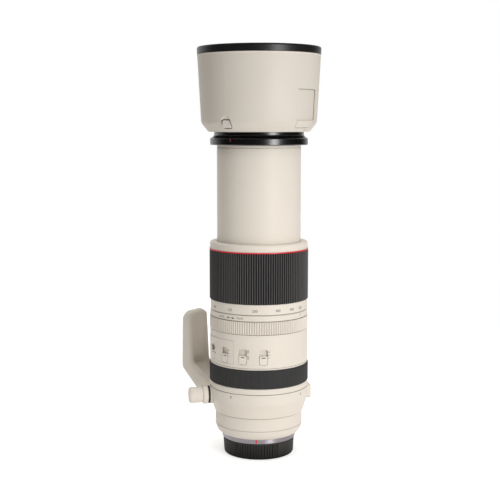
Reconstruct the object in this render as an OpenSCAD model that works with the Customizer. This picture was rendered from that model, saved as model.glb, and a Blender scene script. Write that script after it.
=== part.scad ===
// Telephoto zoom lens standing on its rear cap, zoomed to its longest setting.
// +Z is the optical axis towards the front, the origin is the middle of the cap's base,
// +Y is the top of the lens in use, the tripod foot is on -Y and the switches on +X.

/* [Optics and barrels] */
// Filter thread diameter at the front
filter_d = 77; // [72:1:82]
// Depth of the filter thread
thread_depth = 0.4; // [0.3:0.05:0.6]
// Step from the filter thread in to the bore of the extension tube
filter_step = 0.6; // [0.5:0.05:0.8]
// Wall of the extension tube
tube_wall = 2.05; // [1.8:0.05:2.4]
// Wall of the fixed guide barrel with the straight slots
guide_wall = 1.45; // [1.2:0.05:2]
// Wall of the turning cam barrel with the helical slots
cam_wall = 1.6; // [1.2:0.05:2]
// Wall of the main barrel where the rings turn on it
carrier_wall = 1.3; // [1:0.05:2]
// Wall of the turning rings
ring_wall = 1.8; // [1.6:0.05:2.6]
// Wall of the core barrel that carries the inner optics
core_wall = 2; // [1.5:0.1:3]
// Free space between the extension tube and the core barrel
core_gap = 0.5; // [0.3:0.05:1]
// Length of the core barrel above the index ring
core_len = 93.5; // [88:0.5:100]
// Clearance between pieces that move on each other
run_gap = 0.3; // [0.2:0.05:0.4]
// Clearance between pieces that are fixed to each other
seat_gap = 0.1; // [0.05:0.01:0.2]

/* [Rear cap and mount] */
// Height of the rear cap
cap_h = 16; // [14:0.5:20]
// Radius of the rear cap at its rim
cap_r = 34.2; // [33.5:0.1:36]
// Draught of the cap's side, from rim to base
cap_draught = 0.8; // [0.4:0.1:1.5]
// Wall of the rear cap
cap_wall = 2.4; // [1.6:0.1:3]
// Number of ribs around the rear cap
cap_ribs = 80; // [40:1:100]
// Depth of the cap's ribs
cap_rib_depth = 0.5; // [0.3:0.05:0.8]
// Throat diameter of the camera mount
throat_d = 54; // [50:0.5:56]
// Radius of the mount ring
mount_r = 35.2; // [34.5:0.1:37]
// Height of the mount ring
mount_h = 4.7; // [4:0.1:6]
// Reach of the bayonet below the mount ring
bayonet_h = 5; // [4:0.1:6]

/* [Rear barrel and tripod collar] */
// Height of the rear barrel up to the collar
rear_h = 21.1; // [20:0.1:26]
// Wall of the rear barrel under the collar
rear_wall = 2.9; // [2.5:0.1:3.3]
// Step from the collar's bore out to the rear barrel's side
rear_step = 1.2; // [0.8:0.1:1.6]
// Height of the tripod collar
collar_h = 24.2; // [21:0.1:28]
// Height of the bell at the collar's rear end
collar_bell_h = 15.5; // [13:0.1:17]
// Height of the fixed index ring
index_h = 5.5; // [4:0.1:9]
// Distance from the lens axis to the foot's base
foot_d = 83; // [79:0.5:88]
// Thickness of the foot's plate
foot_t = 13.2; // [12.8:0.2:16]
// Width of the foot
foot_w = 30.6; // [26:0.2:34]
// Length of the foot's plate
foot_len = 52; // [44:1:60]
// Radius of the tripod socket's thread
socket_r = 3.175; // [3.175:0.001:4.763]
// Depth of the tripod socket
socket_depth = 9; // [7:0.5:10]
// Radius of the lock knob's head
knob_r = 7.7; // [6:0.1:9]
// Length of the lock knob's head
knob_len = 13; // [10:0.5:18]
// Polar angle of the lock knob on the collar
knob_angle = -45; // [-60:1:-30]

/* [Rings on the main barrel] */
// Height of the focus ring
focus_h = 17.7; // [14:0.1:24]
// Height of the main barrel between the focus and control rings
panel_h = 32.8; // [28:0.1:40]
// Height of the control ring
control_h = 12.5; // [10:0.1:16]
// Height of the zoom tension ring
tension_h = 5.6; // [4.5:0.1:8]
// Step from the rings in to the switch housing
panel_step = 0.4; // [0.2:0.05:0.7]
// Step from the rings out to the focus rubber
focus_step = 0.4; // [0.2:0.05:0.7]
// Thickness of the rubber on the focus ring
focus_rubber_t = 1.2; // [1:0.05:1.6]
// Number of ribs around the focus rubber
focus_ribs = 180; // [90:1:200]
// Number of grooves around the control ring
control_grooves = 128; // [80:1:140]
// Depth of the ribs and grooves on the rings
rib_depth = 0.45; // [0.3:0.05:0.6]

/* [Zoom ring and travel] */
// Height of the zoom scale
scale_h = 9.5; // [8:0.1:14]
// Step from the rings in to the zoom scale
scale_step = 0.8; // [0.4:0.05:0.9]
// Height of the zoom rubber
zoom_grip_h = 47.1; // [40:0.1:56]
// Thickness of the rubber on the zoom ring
zoom_rubber_t = 1.5; // [1.2:0.05:1.7]
// Number of ribs around the zoom rubber
zoom_ribs = 100; // [60:1:120]
// Height of the red band
red_h = 1; // [0.6:0.1:2]
// Height of the front collar
front_collar_h = 6.6; // [5:0.1:9]
// Travel of the extension tube from the longest to the shortest setting
zoom_travel = 88; // [80:0.5:89]
// Turn of the zoom ring over that travel, in degrees
zoom_turn = 121; // [100:1:125]
// Length of tube that stays in the guide barrel at the longest setting
tube_stay = 40; // [34:0.5:44]
// Radius of the cam rollers
roller_r = 3; // [2.5:0.1:3.4]
// Tube length that shows between the front collar and the front ring
tube_show = 90.4; // [90:0.1:96]

/* [Front ring and hood] */
// Height of the front ring's flange
flange_h = 6.3; // [5:0.1:8]
// Step from the tube out to the flange of the front ring
flange_step = 6.45; // [5:0.05:7]
// Wall around the filter thread
neck_wall = 4.1; // [3.6:0.1:4.6]
// Height of the neck above the flange
neck_h = 9.9; // [9:0.1:12]
// Length of the filter thread
thread_len = 5.5; // [4:0.1:6]
// Height of the hood
hood_h = 71.1; // [60:0.5:80]
// Radius of the hood at its base
hood_base_r = 47.5; // [47:0.1:48.5]
// Radius of the hood at its shoulder
hood_low_r = 54.2; // [53:0.1:56]
// Gain in radius from the hood's shoulder to its rim
hood_flare = 3.4; // [2:0.1:5]
// Height of the hood's slanted shoulder
hood_shoulder_h = 8.5; // [7:0.1:10]
// Wall of the hood
hood_wall = 3.2; // [3:0.1:4]
// Height of the hood's black rim
rim_h = 7.1; // [5:0.1:9]
// Width of the hood's sliding door
door_w = 26.4; // [20:0.1:30]
// Travel of the hood's sliding door
door_travel = 27; // [20:0.5:28]
// Polar angle of the middle of the door
door_angle = 87; // [84:1:96]
// Width of the hood's lock button
button_w = 8.6; // [7:0.1:10]
// Height of the hood's lock button
button_h = 7; // [5:0.1:7.5]

/* [Switches] */
// Width of a switch's pocket
pocket_w = 7.8; // [6.5:0.1:8.5]
// Length of a switch's knob
slider_len = 8; // [6:0.1:8.3]
// Travel of a switch
switch_travel = 5.5; // [3:0.1:5.8]
// Polar angle of the first switch
switch_angle = -33; // [-36:1:-30]
// Angle between switches
switch_pitch = 24; // [20:1:26]

/* [Hidden] */
$fn = 96;

// Heights along the axis, stacked from the base of the cap.
z_mount = cap_h;
z_rear = z_mount + mount_h;
z_collar = z_rear + rear_h;
z_index = z_collar + collar_h;
z_focus = z_index + index_h;
z_panel = z_focus + focus_h;
z_control = z_panel + panel_h;
z_tension = z_control + control_h;
z_scale = z_tension + tension_h + 2 * run_gap;
z_grip = z_scale + scale_h;
z_red = z_grip + zoom_grip_h;
z_front = z_red + red_h;
z_open = z_front + front_collar_h;
z_ring = z_open + tube_show;
z_neck = z_ring + flange_h;
z_rim = z_neck + neck_h;
hood_neck_show = 3.2;
flare_h = 2.6;
z_flare = z_neck + flare_h;
z_hood = z_flare + hood_neck_show;
z_hood_top = z_hood + hood_h;

// Radii, worked outwards from the filter thread.
filter_r = filter_d / 2 - thread_depth;
tube_in = filter_r - filter_step;
tube_r = tube_in + tube_wall;
guide_in = tube_r + run_gap;
guide_r = guide_in + guide_wall;
cam_in = guide_r + run_gap;
cam_r = cam_in + cam_wall;
shell_in = cam_r + run_gap;
shell_r = shell_in + carrier_wall;
ring_in = shell_r + run_gap;
barrel_r = ring_in + ring_wall;
core_r = tube_in - core_gap;
core_in = core_r - core_wall;
rear_in = core_r + run_gap;
seat_r = rear_in + rear_wall;
collar_in = seat_r + run_gap;
rear_r = collar_in + rear_step;
panel_r = barrel_r - panel_step;
scale_r = barrel_r - scale_step;
focus_r = barrel_r + focus_step;
collar_low_r = rear_r + 0.5;
flange_r = tube_r + flange_step;
neck_r = filter_r + neck_wall;

// Edge breaks, flats and other small sizes.
edge = 0.6;
floor_t = 2;
cap_round = 2;
core_z = z_rear + 3.3;
core_top = z_focus + core_len;

// Zoom drive: three rollers on the tube ride in straight guide slots and helical cam slots.
tube_z = z_open - tube_stay;
roller_z = tube_z + 7;
roller_angles = [30, 150, 270];
roller_reach = cam_r - 0.2;
stem_r = roller_r / 2;
slot_w = 2 * (roller_r + run_gap);
slot_over = roller_r + 2;
slot_low = roller_z - zoom_travel - slot_over;
slot_len = zoom_travel + 2 * slot_over;
cam_lead = zoom_travel / zoom_turn;
cam_slope = atan(zoom_travel / (cam_r * zoom_turn * PI / 180));
cam_slot_w = slot_w / sin(cam_slope);
cam_low = slot_low - 4;
cam_top = z_red - 5.4;
key_r = 2;
key_z = (slot_low + slot_len + cam_top) / 2 + 1;
guide_top = z_red - 0.9;

// Lens cells inside the core barrel and the tube.
cell_r = core_in - run_gap;
glass_gap = 0.1;
rear_cell_z = core_z + 2;
rear_cell_h = 10;
focus_cell_z = rear_cell_z + rear_cell_h + 24;
focus_cell_h = 12;
focus_travel = 12;
rod_r = 1.3;
rod_low = rear_cell_z + rear_cell_h;
rod_orbit = core_in - 4.4;
iris_z = focus_cell_z + focus_cell_h + focus_travel + 5;
iris_h = 8;
stab_z = iris_z + iris_h + 0.5;
stab_base_h = 4;
stab_move = 1.2;
stab_plate_h = 3;
variator_travel = 20;
variator_h = 12;
variator_z = core_top - variator_h - 1.5;
front_cell_drop = 12;
front_cell_z = z_ring - front_cell_drop;
front_cell_top = z_rim - thread_len - 1.4;
front_glass_r = tube_in - 3;

// Tripod foot and lock knob.
foot_half = foot_w / 2;
foot_round = 12.8;
foot_end = 6.3;
foot_soft = 4.5;
finger_d = foot_d - foot_t;
foot_z = z_focus + 4.5;
foot_top = foot_z + foot_len + 3;
arm_low = z_collar + 3.4;
foot_elbow = [foot_d - 15.3, foot_z - 20];
socket_z = foot_z + foot_len / 2;
socket_wall = 2.2;
knob_z = z_collar + 15.7;
boss_r = knob_r + 1.1;
boss_out = barrel_r + 1.2;
washer_t = 1.8;
knob_flange_t = 5;
knob_flange_r = knob_r + 1.2;
knob_in = boss_out + washer_t + 2 * seat_gap;
stud_r = 3;
hinge_boss_angle = 135;
hinge_boss_w = 16;
hinge_boss_h = 13;
hinge_boss_r = barrel_r + 3;

// Hood, door and lock button.
hood_in = neck_r + 1.8;
hood_top_r = hood_low_r + hood_flare;
hood_lug_h = 1.6;
hood_lug_z = z_hood + 2 * seat_gap;
lug_angle = 76;
lug_count = 2;
z_shoulder = z_hood + hood_shoulder_h;
wall_rise = hood_h - hood_shoulder_h;
hood_slope = atan(hood_flare / wall_rise);
lining_t = 0.6;
shoulder_soft = 2.4;
door_low = z_hood + 3.9;
door_lip = z_hood + 10.5;
door_top = door_lip + door_travel + 1;
door_skin = 0.8;
door_t = 1;
door_tongue = 1.6;
door_round = 4;
track_span = door_w + 2 * door_tongue;
door_shift = door_travel + 2;
button_z = z_hood + 3.6;
button_in = hood_low_r - 5.5;
button_out = hood_low_r - 1;
button_room = 2;
button_gap = 0.4;
scoop_r = 13;
scoop_depth = 0.5;
button_round = 1.6;

// Switches.
pocket_z = z_panel + 5.1;
pocket_depth = 2.1;
pocket_r = panel_r - pocket_depth;
pocket_round = 1.6;
pocket_len = slider_len + switch_travel + 3 * run_gap;
slider_w = pocket_w - 2 * run_gap;
slider_z = pocket_z + run_gap;
slider_top = slider_z + slider_len;
track_w = 1;
track_h = 1.2;
plate_t = 0.45;
seam_z = z_panel + 1.4;
seam_w = 0.35;
plate_z = z_panel + 4.7;
plate_h = 22;
plate_from = switch_angle - 15;
plate_to = switch_angle + switch_pitch + 12;

cream = [0.87, 0.84, 0.78];
dark = [0.1, 0.1, 0.1];
charcoal = [0.22, 0.22, 0.23];
steel = [0.68, 0.68, 0.72];
alloy = [0.55, 0.56, 0.58];
red = [0.75, 0.1, 0.14];
clear_glass = [0.72, 0.82, 0.84, 0.5];
board_green = [0.1, 0.35, 0.22];
gold = [0.8, 0.65, 0.3];

// Points of a quadratic curve from a to c, drawn towards b.
function curve(a, b, c, steps = 8) =
    [for (i = [0 : steps]) let (t = i / steps) a * (1 - t) * (1 - t) + b * 2 * t * (1 - t) + c * t * t];

// Outline of a toothed circle: a tooth fills the given share of each pitch.
function toothed(count, root, tip, share) =
    [for (i = [0 : count - 1], k = [0 : 3])
        let (pitch = 360 / count, half = pitch * share / 2, lean = pitch * 0.08)
        let (turn = i * pitch + [-half - lean, -half, half, half + lean][k])
        let (r = (k == 0 || k == 3) ? root : tip)
        [r * cos(turn), r * sin(turn)]];

// A solid of revolution about the optical axis, from [radius, height] points.
module revolve(points) rotate_extrude() polygon(points);

// A plain tube from z0 to z1.
module tube(r, r_in, z0, z1) revolve([[r_in, z0], [r, z0], [r, z1], [r_in, z1]]);

// A tube whose outer edges are broken by e.
module soft_tube(r, r_in, z0, z1, e) revolve([
    [r_in, z0], [r - e, z0], [r, z0 + e], [r, z1 - e], [r - e, z1], [r_in, z1]
]);

// Children placed on the +X side, turned to a polar angle about the optical axis.
module at(angle) rotate([0, 0, angle]) children();

// A round pin that points outwards along +X, from radius r0 to r1 at height z.
module spoke(r, r0, r1, z) translate([r0, 0, z]) rotate([0, 90, 0]) cylinder(h = r1 - r0, r = r, $fn = 48);

// A box from radius r0 to r1 along +X, w wide, from z0 to z1.
module slab(r0, r1, w, z0, z1) translate([r0, -w / 2, z0]) cube([r1 - r0, w, z1 - z0]);

// A ribbed ring: straight ribs all round, with its two outer edges broken by e.
module ribbed(r, r_in, depth, count, share, z0, z1, e) {
    intersection() {
        translate([0, 0, z0])
            linear_extrude(z1 - z0)
            difference() {
                polygon(toothed(count, r - depth, r, share));
                circle(r_in, $fn = 360);
            }
        soft_tube(r + 1, r_in - 1, z0, z1, e + 1);
    }
}

// Points of a curved lens face from the axis to the edge, bulging by the given height.
function face(r, z, bulge, steps = 10) =
    [for (i = [0 : steps]) let (t = i / steps) [r * t, z + bulge * (1 - t * t)]];

// A list in reverse order.
function reverse(list) = [for (i = [len(list) - 1 : -1 : 0]) list[i]];

// A round lens from z0 to z1 at its edge: each face is convex where its bulge is positive.
module lens(r, z0, z1, back, front) revolve(concat(face(r, z0, -back), reverse(face(r, z1, front))));

// An arc-shaped lug, as wide as the given angle and centred on the +X side.
module lug(r, r_in, z0, z1, angle)
    rotate([0, 0, -angle / 2])
    rotate_extrude(angle = angle)
    polygon([[r_in, z0], [r, z0], [r, z1], [r_in, z1]]);

// A flat rounded rectangle about the origin.
module rounded(w, h, r) {
    square([w - 2 * r, h], center = true);
    square([w, h - 2 * r], center = true);
    for (x = [-1, 1], y = [-1, 1]) translate([x * (w / 2 - r), y * (h / 2 - r)]) circle(r, $fn = 48);
}

// Rear cap: ribbed side with three smooth pads, closed base, and three lugs that hold behind the bayonet.
cap_in = cap_r - cap_wall;
bayonet_r = throat_d / 2 - 1.2;
bayonet_in = bayonet_r - 2.2;
bayonet_z = z_mount - bayonet_h;
bayonet_lug_h = 1.8;
lug_turn = 50;
cap_lug_z = bayonet_z + bayonet_lug_h + run_gap;
cap_lug_h = 1.6;
cap_rim_h = 1.7;
cap_pad_angle = 45;
cap_pad_t = 0.1;
module rear_cap() color(dark) {
    foot_r = cap_r - cap_draught;
    outline = concat(
        [[0, 0]],
        curve([foot_r - cap_round, 0], [foot_r, 0], [foot_r, cap_round], 5),
        [[cap_r, cap_h - seat_gap], [0, cap_h - seat_gap]]
    );
    difference() {
        intersection() {
            linear_extrude(cap_h) polygon(toothed(cap_ribs, foot_r - cap_rib_depth, cap_r + 1, 0.62));
            revolve(outline);
        }
        translate([0, 0, floor_t]) cylinder(h = cap_h, r = cap_in);
    }
    tube(cap_r, cap_in, cap_h - cap_rim_h, cap_h - seat_gap);
    for (i = [0 : 2]) at(88 - cap_pad_angle / 2 + 120 * i)
        rotate_extrude(angle = cap_pad_angle)
        polygon([
            [cap_in + 1, 1.5 * cap_round], [foot_r + cap_pad_t, 1.5 * cap_round],
            [cap_r + cap_pad_t, cap_h - cap_rim_h + 0.5], [cap_in + 1, cap_h - cap_rim_h + 0.5]
        ]);
    for (i = [0 : 2]) at(120 * i)
        lug(cap_in + 0.5, bayonet_r + run_gap, cap_lug_z, cap_lug_z + cap_lug_h, lug_turn);
}

// Metal mount ring: the flange that meets the camera and the bayonet behind it.
screw_orbit = cap_in - 2.6;
screw_angles = [45, 135, 225, 315];
screw_r = 1;
screw_head_r = 1.8;
screw_head_h = 1.1;
mount_edge = 0.4;
module mount_ring() color(steel) difference() {
    union() {
        revolve([
            [bayonet_in, bayonet_z], [bayonet_r, bayonet_z], [bayonet_r, z_mount],
            [mount_r - mount_edge, z_mount], [mount_r, z_mount + mount_edge],
            [mount_r, z_rear - mount_edge], [mount_r - mount_edge, z_rear], [bayonet_in, z_rear]
        ]);
        for (i = [0 : 2]) at(120 * i)
            lug(throat_d / 2 - seat_gap, bayonet_r - 1, bayonet_z + run_gap,
                bayonet_z + bayonet_lug_h, lug_turn);
    }
    for (a = screw_angles) at(a) translate([screw_orbit, 0, 0]) {
        translate([0, 0, z_mount - 1]) cylinder(h = mount_h + 2, r = screw_r + seat_gap, $fn = 32);
        translate([0, 0, z_mount - 1])
            cylinder(h = screw_head_h + 1 + seat_gap, r = screw_head_r + seat_gap, $fn = 32);
    }
}

// Four screws that hold the mount ring to the rear barrel.
module mount_screws() color(steel) for (a = screw_angles) at(a) translate([screw_orbit, 0, z_mount]) {
    cylinder(h = screw_head_h, r = screw_head_r, $fn = 32);
    cylinder(h = mount_h + 2, r = screw_r, $fn = 32);
}

// Contact block inside the throat, at the bottom of the lens in use.
block_angle = 100;
block_r = bayonet_in - 2 * seat_gap;
block_in = block_r - 3.9;
block_z = bayonet_z + 0.5;
module contact_block() color(dark) at(-90) lug(block_r, block_in, block_z, z_mount - 0.5, block_angle);

// Gold contact pins on the rear face of the block.
pin_count = 12;
module contact_pins() color(gold) for (i = [0 : pin_count - 1])
    at(-90 + (i - (pin_count - 1) / 2) * block_angle / (pin_count + 1))
    translate([(block_r + block_in) / 2, 0, block_z - 0.5])
    cylinder(h = 0.5, r = 0.75, $fn = 24);

// Black funnel that shades the rear glass.
baffle_r = block_in - run_gap;
module rear_baffle() color(dark) revolve([
    [baffle_r - 3, block_z + 1], [baffle_r, block_z + 1],
    [baffle_r, z_rear + 1], [baffle_r - 1.5, z_rear + 1]
]);

// Round circuit board on the rear barrel's flange.
rear_flange_t = 3;
rear_bore = bayonet_in + 3;
board_t = 1.6;
module main_board() color(board_green)
    tube(cell_r, rear_bore, z_rear + rear_flange_t + seat_gap, z_rear + rear_flange_t + seat_gap + board_t);

// Rear barrel: curved in to the mount, with a turned seat for the tripod collar.
rear_seam_z = z_rear + 8.8;
rear_low_r = mount_r + 1.5;
module rear_barrel() color(cream) difference() {
    revolve(concat(
        [[rear_bore, z_rear]],
        curve([rear_low_r, z_rear], [rear_r - 1.1, z_rear + 1.9], [rear_r, rear_seam_z - 0.5]),
        [
            [rear_r, rear_seam_z], [rear_r - seam_w, rear_seam_z], [rear_r - seam_w, rear_seam_z + seam_w],
            [rear_r, rear_seam_z + seam_w], [rear_r, z_collar - 0.3], [rear_r - 0.3, z_collar],
            [seat_r, z_collar], [seat_r, z_index],
            [rear_in, z_index], [rear_in, z_rear + rear_flange_t], [rear_bore, z_rear + rear_flange_t]
        ]
    ));
    for (a = screw_angles) at(a) translate([screw_orbit, 0, z_rear - 1])
        cylinder(h = 1 + 2 + seat_gap, r = screw_r + seat_gap, $fn = 32);
}

// Outer form of the tripod collar, as a solid of revolution with extra room.
bell_turn = [barrel_r - 1.8, z_collar + collar_bell_h - 5.5];
module collar_form(room) revolve(concat(
    [[0, z_collar + run_gap - room]],
    curve([collar_low_r + room, z_collar + run_gap - room], [bell_turn.x - 2.7 + room, bell_turn.y - 3],
        [bell_turn.x + room, bell_turn.y]),
    curve([bell_turn.x + room, bell_turn.y], [barrel_r + room, bell_turn.y + 2],
        [barrel_r + room, z_collar + collar_bell_h]),
    [[barrel_r + room, z_index - run_gap + room], [0, z_index - run_gap + room]]
));

// Room that the turning collar leaves around the rings in front of it.
module ring_room() translate([0, 0, z_index - run_gap]) cylinder(h = 40, r = focus_r + 3 * run_gap);

// Tripod collar with its knob boss and the plain boss opposite.
module tripod_collar() color(cream) difference() {
    union() {
        collar_form(0);
        difference() {
            union() {
                at(knob_angle) spoke(boss_r, collar_in + 1, boss_out, knob_z);
                at(hinge_boss_angle) translate([collar_in + 1, 0, knob_z])
                    rotate([0, 90, 0])
                    linear_extrude(hinge_boss_r - collar_in - 1)
                    rounded(hinge_boss_h, hinge_boss_w, 2.5);
            }
            translate([0, 0, z_index - run_gap]) cylinder(h = 10, r = barrel_r + 2 * run_gap);
        }
    }
    translate([0, 0, z_collar - 1]) cylinder(h = collar_h + 10, r = collar_in);
    at(knob_angle) spoke(stud_r + run_gap, collar_in - 1, boss_out + 1, knob_z);
}

// Tripod foot: a flat plate along the barrel on a slanted arm that is bolted to the collar.
module foot_plan(low, high) translate([0, foot_d + 1, (low + high) / 2])
    rotate([90, 0, 0])
    linear_extrude(foot_d)
    rounded(foot_w, high - low, foot_round);
module foot_section(inner) translate([0, (foot_d + inner) / 2, arm_low - 20])
    linear_extrude(foot_top - arm_low + 40)
    rounded(foot_w, foot_d - inner, foot_soft);
module foot_plate() rotate([90, 0, 90])
    translate([foot_d - foot_t / 2, (foot_top + foot_z) / 2, -foot_half])
    linear_extrude(foot_w)
    rounded(foot_t, foot_top - foot_z, foot_end);
module tripod_foot() color(cream) difference() {
    rotate([0, 0, 180]) {
        intersection() {
            foot_plate();
            foot_plan(foot_z - 30, foot_top);
            foot_section(finger_d);
        }
        intersection() {
            foot_arm();
            foot_section(barrel_r - 20);
        }
    }
    collar_form(seat_gap);
    ring_room();
    translate([0, -foot_d - 1, socket_z]) rotate([-90, 0, 0])
        cylinder(h = socket_depth + 2 + seat_gap, r = socket_r + socket_wall + seat_gap);
}

// Slanted arm of the foot, drawn in its side outline.
module foot_arm() rotate([90, 0, 90])
    translate([0, 0, -foot_half])
    linear_extrude(foot_w)
    polygon(concat(
        curve([barrel_r - 6, arm_low], [barrel_r + 8, arm_low], foot_elbow, 6),
        curve([foot_d - 2, foot_z - 2], [foot_d, foot_z], [foot_d, foot_z + 4], 4),
        [[foot_d, foot_z + 11], [finger_d, foot_z + 11]],
        curve([finger_d, foot_z + 10], [finger_d, foot_z + 5.5], [finger_d - 3.6, foot_z + 3.4], 4),
        [[barrel_r + 2.4, foot_z - 6], [barrel_r - 6, z_index - run_gap]]
    ));

// Steel socket with the tripod thread, set into the foot's base.
module tripod_socket() color(steel) translate([0, -foot_d, socket_z]) rotate([-90, 0, 0]) difference() {
    cylinder(h = socket_depth + 1, r = socket_r + socket_wall);
    translate([0, 0, -1]) cylinder(h = socket_depth + 1, r = socket_r, $fn = 48);
}

// Black washer between the collar's boss and the knob.
module knob_washer() color(dark) at(knob_angle) difference() {
    spoke(boss_r - 0.5, boss_out + seat_gap, boss_out + seat_gap + washer_t, knob_z);
    spoke(stud_r + run_gap, boss_out, boss_out + washer_t + 1, knob_z);
}

// Lock knob: a plain head, a collar and the stud that clamps the tripod collar.
module lock_knob() color(cream) at(knob_angle) translate([0, 0, knob_z]) rotate([0, 90, 0]) {
    flange_out = knob_in + knob_flange_t;
    head_out = flange_out + knob_len;
    revolve(concat(
        [
            [0, collar_in + 1], [stud_r, collar_in + 1], [stud_r, knob_in],
            [knob_flange_r - edge, knob_in], [knob_flange_r, knob_in + edge]
        ],
        curve([knob_flange_r, flange_out - 2], [knob_flange_r, flange_out], [knob_r - 0.4, flange_out], 5),
        curve([knob_r, head_out - 2.5], [knob_r, head_out], [knob_r - 2.5, head_out], 5),
        [[0, head_out]]
    ));
}

// Fixed index ring: ties the rear barrel, guide barrel and main barrel together.
module index_ring() color(cream) soft_tube(barrel_r - 0.1, rear_in, z_index, z_focus, 0.3);

// Focus ring and the fine-ribbed rubber on it.
focus_rubber_in = focus_r - focus_rubber_t;
module focus_ring() color(alloy)
    tube(focus_rubber_in - seat_gap, ring_in, z_focus + run_gap, z_panel - run_gap);
module focus_rubber() color(charcoal)
    ribbed(focus_r, focus_rubber_in, rib_depth, focus_ribs, 0.6, z_focus + run_gap, z_panel - run_gap, edge);

// A plug with rounded corners along +X, from radius r0 to r1 and from z0 to z1.
module plug(r0, r1, w, z0, z1, r) translate([r0, 0, (z0 + z1) / 2])
    rotate([0, 90, 0])
    linear_extrude(r1 - r0)
    rounded(z1 - z0, w, r);

// Pockets for the four switches, each with a track under its lips.
module switch_pockets() for (i = [0 : 3]) at(switch_angle + i * switch_pitch) {
    plug(pocket_r, panel_r + 3, pocket_w, pocket_z, pocket_z + pocket_len, pocket_round);
    slab(pocket_r, pocket_r + track_h, pocket_w + 2 * track_w, pocket_z + pocket_round,
        pocket_z + pocket_len - pocket_round);
}

// Main barrel: the switch housing in the middle, with a turned seat for the rings at each end.
module main_barrel() color(cream) difference() {
    carrier_top = z_tension + tension_h + run_gap;
    revolve([
        [shell_in, z_focus], [shell_r, z_focus], [shell_r, z_panel], [panel_r - 0.3, z_panel],
        [panel_r, z_panel + 0.3], [panel_r, seam_z], [panel_r - seam_w, seam_z],
        [panel_r - seam_w, seam_z + seam_w], [panel_r, seam_z + seam_w],
        [panel_r, z_control - 0.3], [panel_r - 0.3, z_control],
        [shell_r, z_control], [shell_r, carrier_top], [shell_in, carrier_top]
    ]);
    switch_pockets();
}

// Raised plate around the first two switches.
module switch_panel() color(cream) difference() {
    at((plate_from + plate_to) / 2)
        lug(panel_r + plate_t, panel_r + seat_gap / 2, plate_z, plate_z + plate_h, plate_to - plate_from);
    switch_pockets();
}

// One slide switch: a knob in its pocket, held by a foot that runs in the track.
module slide_switch(i) color(cream) at(switch_angle + i * switch_pitch) {
    difference() {
        plug(pocket_r + run_gap, panel_r + plate_t, slider_w, slider_z, slider_top, pocket_round - run_gap);
        slab(panel_r - 0.1, panel_r + 2, slider_w / 2, slider_top - 2, slider_top - 1.2);
    }
    slab(pocket_r + run_gap, pocket_r + track_h - run_gap, pocket_w + 2 * track_w - 2 * run_gap,
        slider_z + pocket_round, slider_top - pocket_round);
}
module focus_mode_switch() slide_switch(0);
module focus_range_switch() slide_switch(1);
module stabiliser_switch() slide_switch(2);
module stabiliser_mode_switch() slide_switch(3);

// Knurled control ring and the plain tension ring in front of it.
module control_ring() color(cream)
    ribbed(barrel_r, ring_in, rib_depth, control_grooves, 0.55,
        z_control + run_gap, z_tension - run_gap, 0.4);
module tension_ring() color(cream) {
    r = scale_r + 0.2;
    top = z_tension + tension_h;
    revolve([
        [ring_in, z_tension + run_gap], [r - 0.3, z_tension + run_gap], [r, z_tension + 2 * run_gap],
        [r, top - edge], [r - edge, top], [ring_in, top]
    ]);
}

// Holes or keys that tie the zoom ring to the cam barrel.
sleeve_r = barrel_r - zoom_rubber_t - seat_gap;
module key_spokes(r, r0, r1) for (a = roller_angles) at(a + 60) spoke(r, r0, r1, key_z);

// Zoom ring: the scale and the sleeve under the rubber.
module zoom_ring() color(cream) difference() {
    revolve([
        [shell_in, z_scale], [scale_r - 0.3, z_scale], [scale_r, z_scale + 0.3], [scale_r, z_grip],
        [sleeve_r, z_grip], [sleeve_r, z_red], [shell_in, z_red]
    ]);
    key_spokes(key_r + seat_gap, shell_in - 1, sleeve_r + 1);
}
module zoom_rubber() color(charcoal)
    ribbed(barrel_r, barrel_r - zoom_rubber_t, rib_depth + 0.15, zoom_ribs, 0.62, z_grip, z_red, 0.5);
module red_band() color(red) tube(barrel_r, shell_in, z_red, z_front);

// Front collar of the zoom ring, with a felt seal against the tube.
collar_lip_h = 1.4;
seal_r = guide_r;
module front_collar() color(cream) {
    rim = barrel_r - 0.5;
    revolve(concat(
        [[seal_r + seat_gap, z_front], [rim, z_front]],
        curve([rim, z_open - 2.4], [rim, z_open], [rim - 2.4, z_open], 6),
        [
            [guide_in + 0.4, z_open], [guide_in, z_open - 0.4], [guide_in, z_open - collar_lip_h],
            [seal_r + seat_gap, z_open - collar_lip_h]
        ]
    ));
}
module dust_seal() color(dark) tube(seal_r, guide_in, z_front, z_open - collar_lip_h - seat_gap);

// Cam barrel: turns with the zoom ring, and its helical slots drive the rollers.
module cam_barrel() color(alloy) difference() {
    tube(cam_r, cam_in, cam_low, cam_top);
    for (a = roller_angles) at(a - (roller_z - slot_low) / cam_lead) translate([0, 0, slot_low])
        linear_extrude(slot_len, twist = -slot_len / cam_lead, slices = 60, segments = 4)
        translate([cam_in - 1, -cam_slot_w / 2])
        square([cam_wall + 2, cam_slot_w]);
    key_spokes(key_r + seat_gap, cam_in - 1, cam_r + 1);
}
module drive_keys() color(steel) key_spokes(key_r, cam_in + seat_gap, sleeve_r - seat_gap);

// Guide barrel: its straight slots keep the tube from turning.
module guide_barrel() color(alloy) difference() {
    tube(guide_r, guide_in, z_focus, guide_top);
    for (a = roller_angles) at(a) slab(guide_in - 2, guide_r + 2, slot_w, slot_low, slot_low + slot_len);
}

// Core barrel: carries the rear optics, with key slots for the variator.
key_w = 3.4;
key_low = variator_z + 3;
key_high = variator_z + 7;
module core_barrel() color(dark) difference() {
    tube(core_r, core_in, core_z, core_top);
    for (a = roller_angles) at(a)
        slab(core_in - 2, core_r + 2, key_w + 2 * run_gap,
            key_low - variator_travel - run_gap, key_high + run_gap);
}

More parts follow.
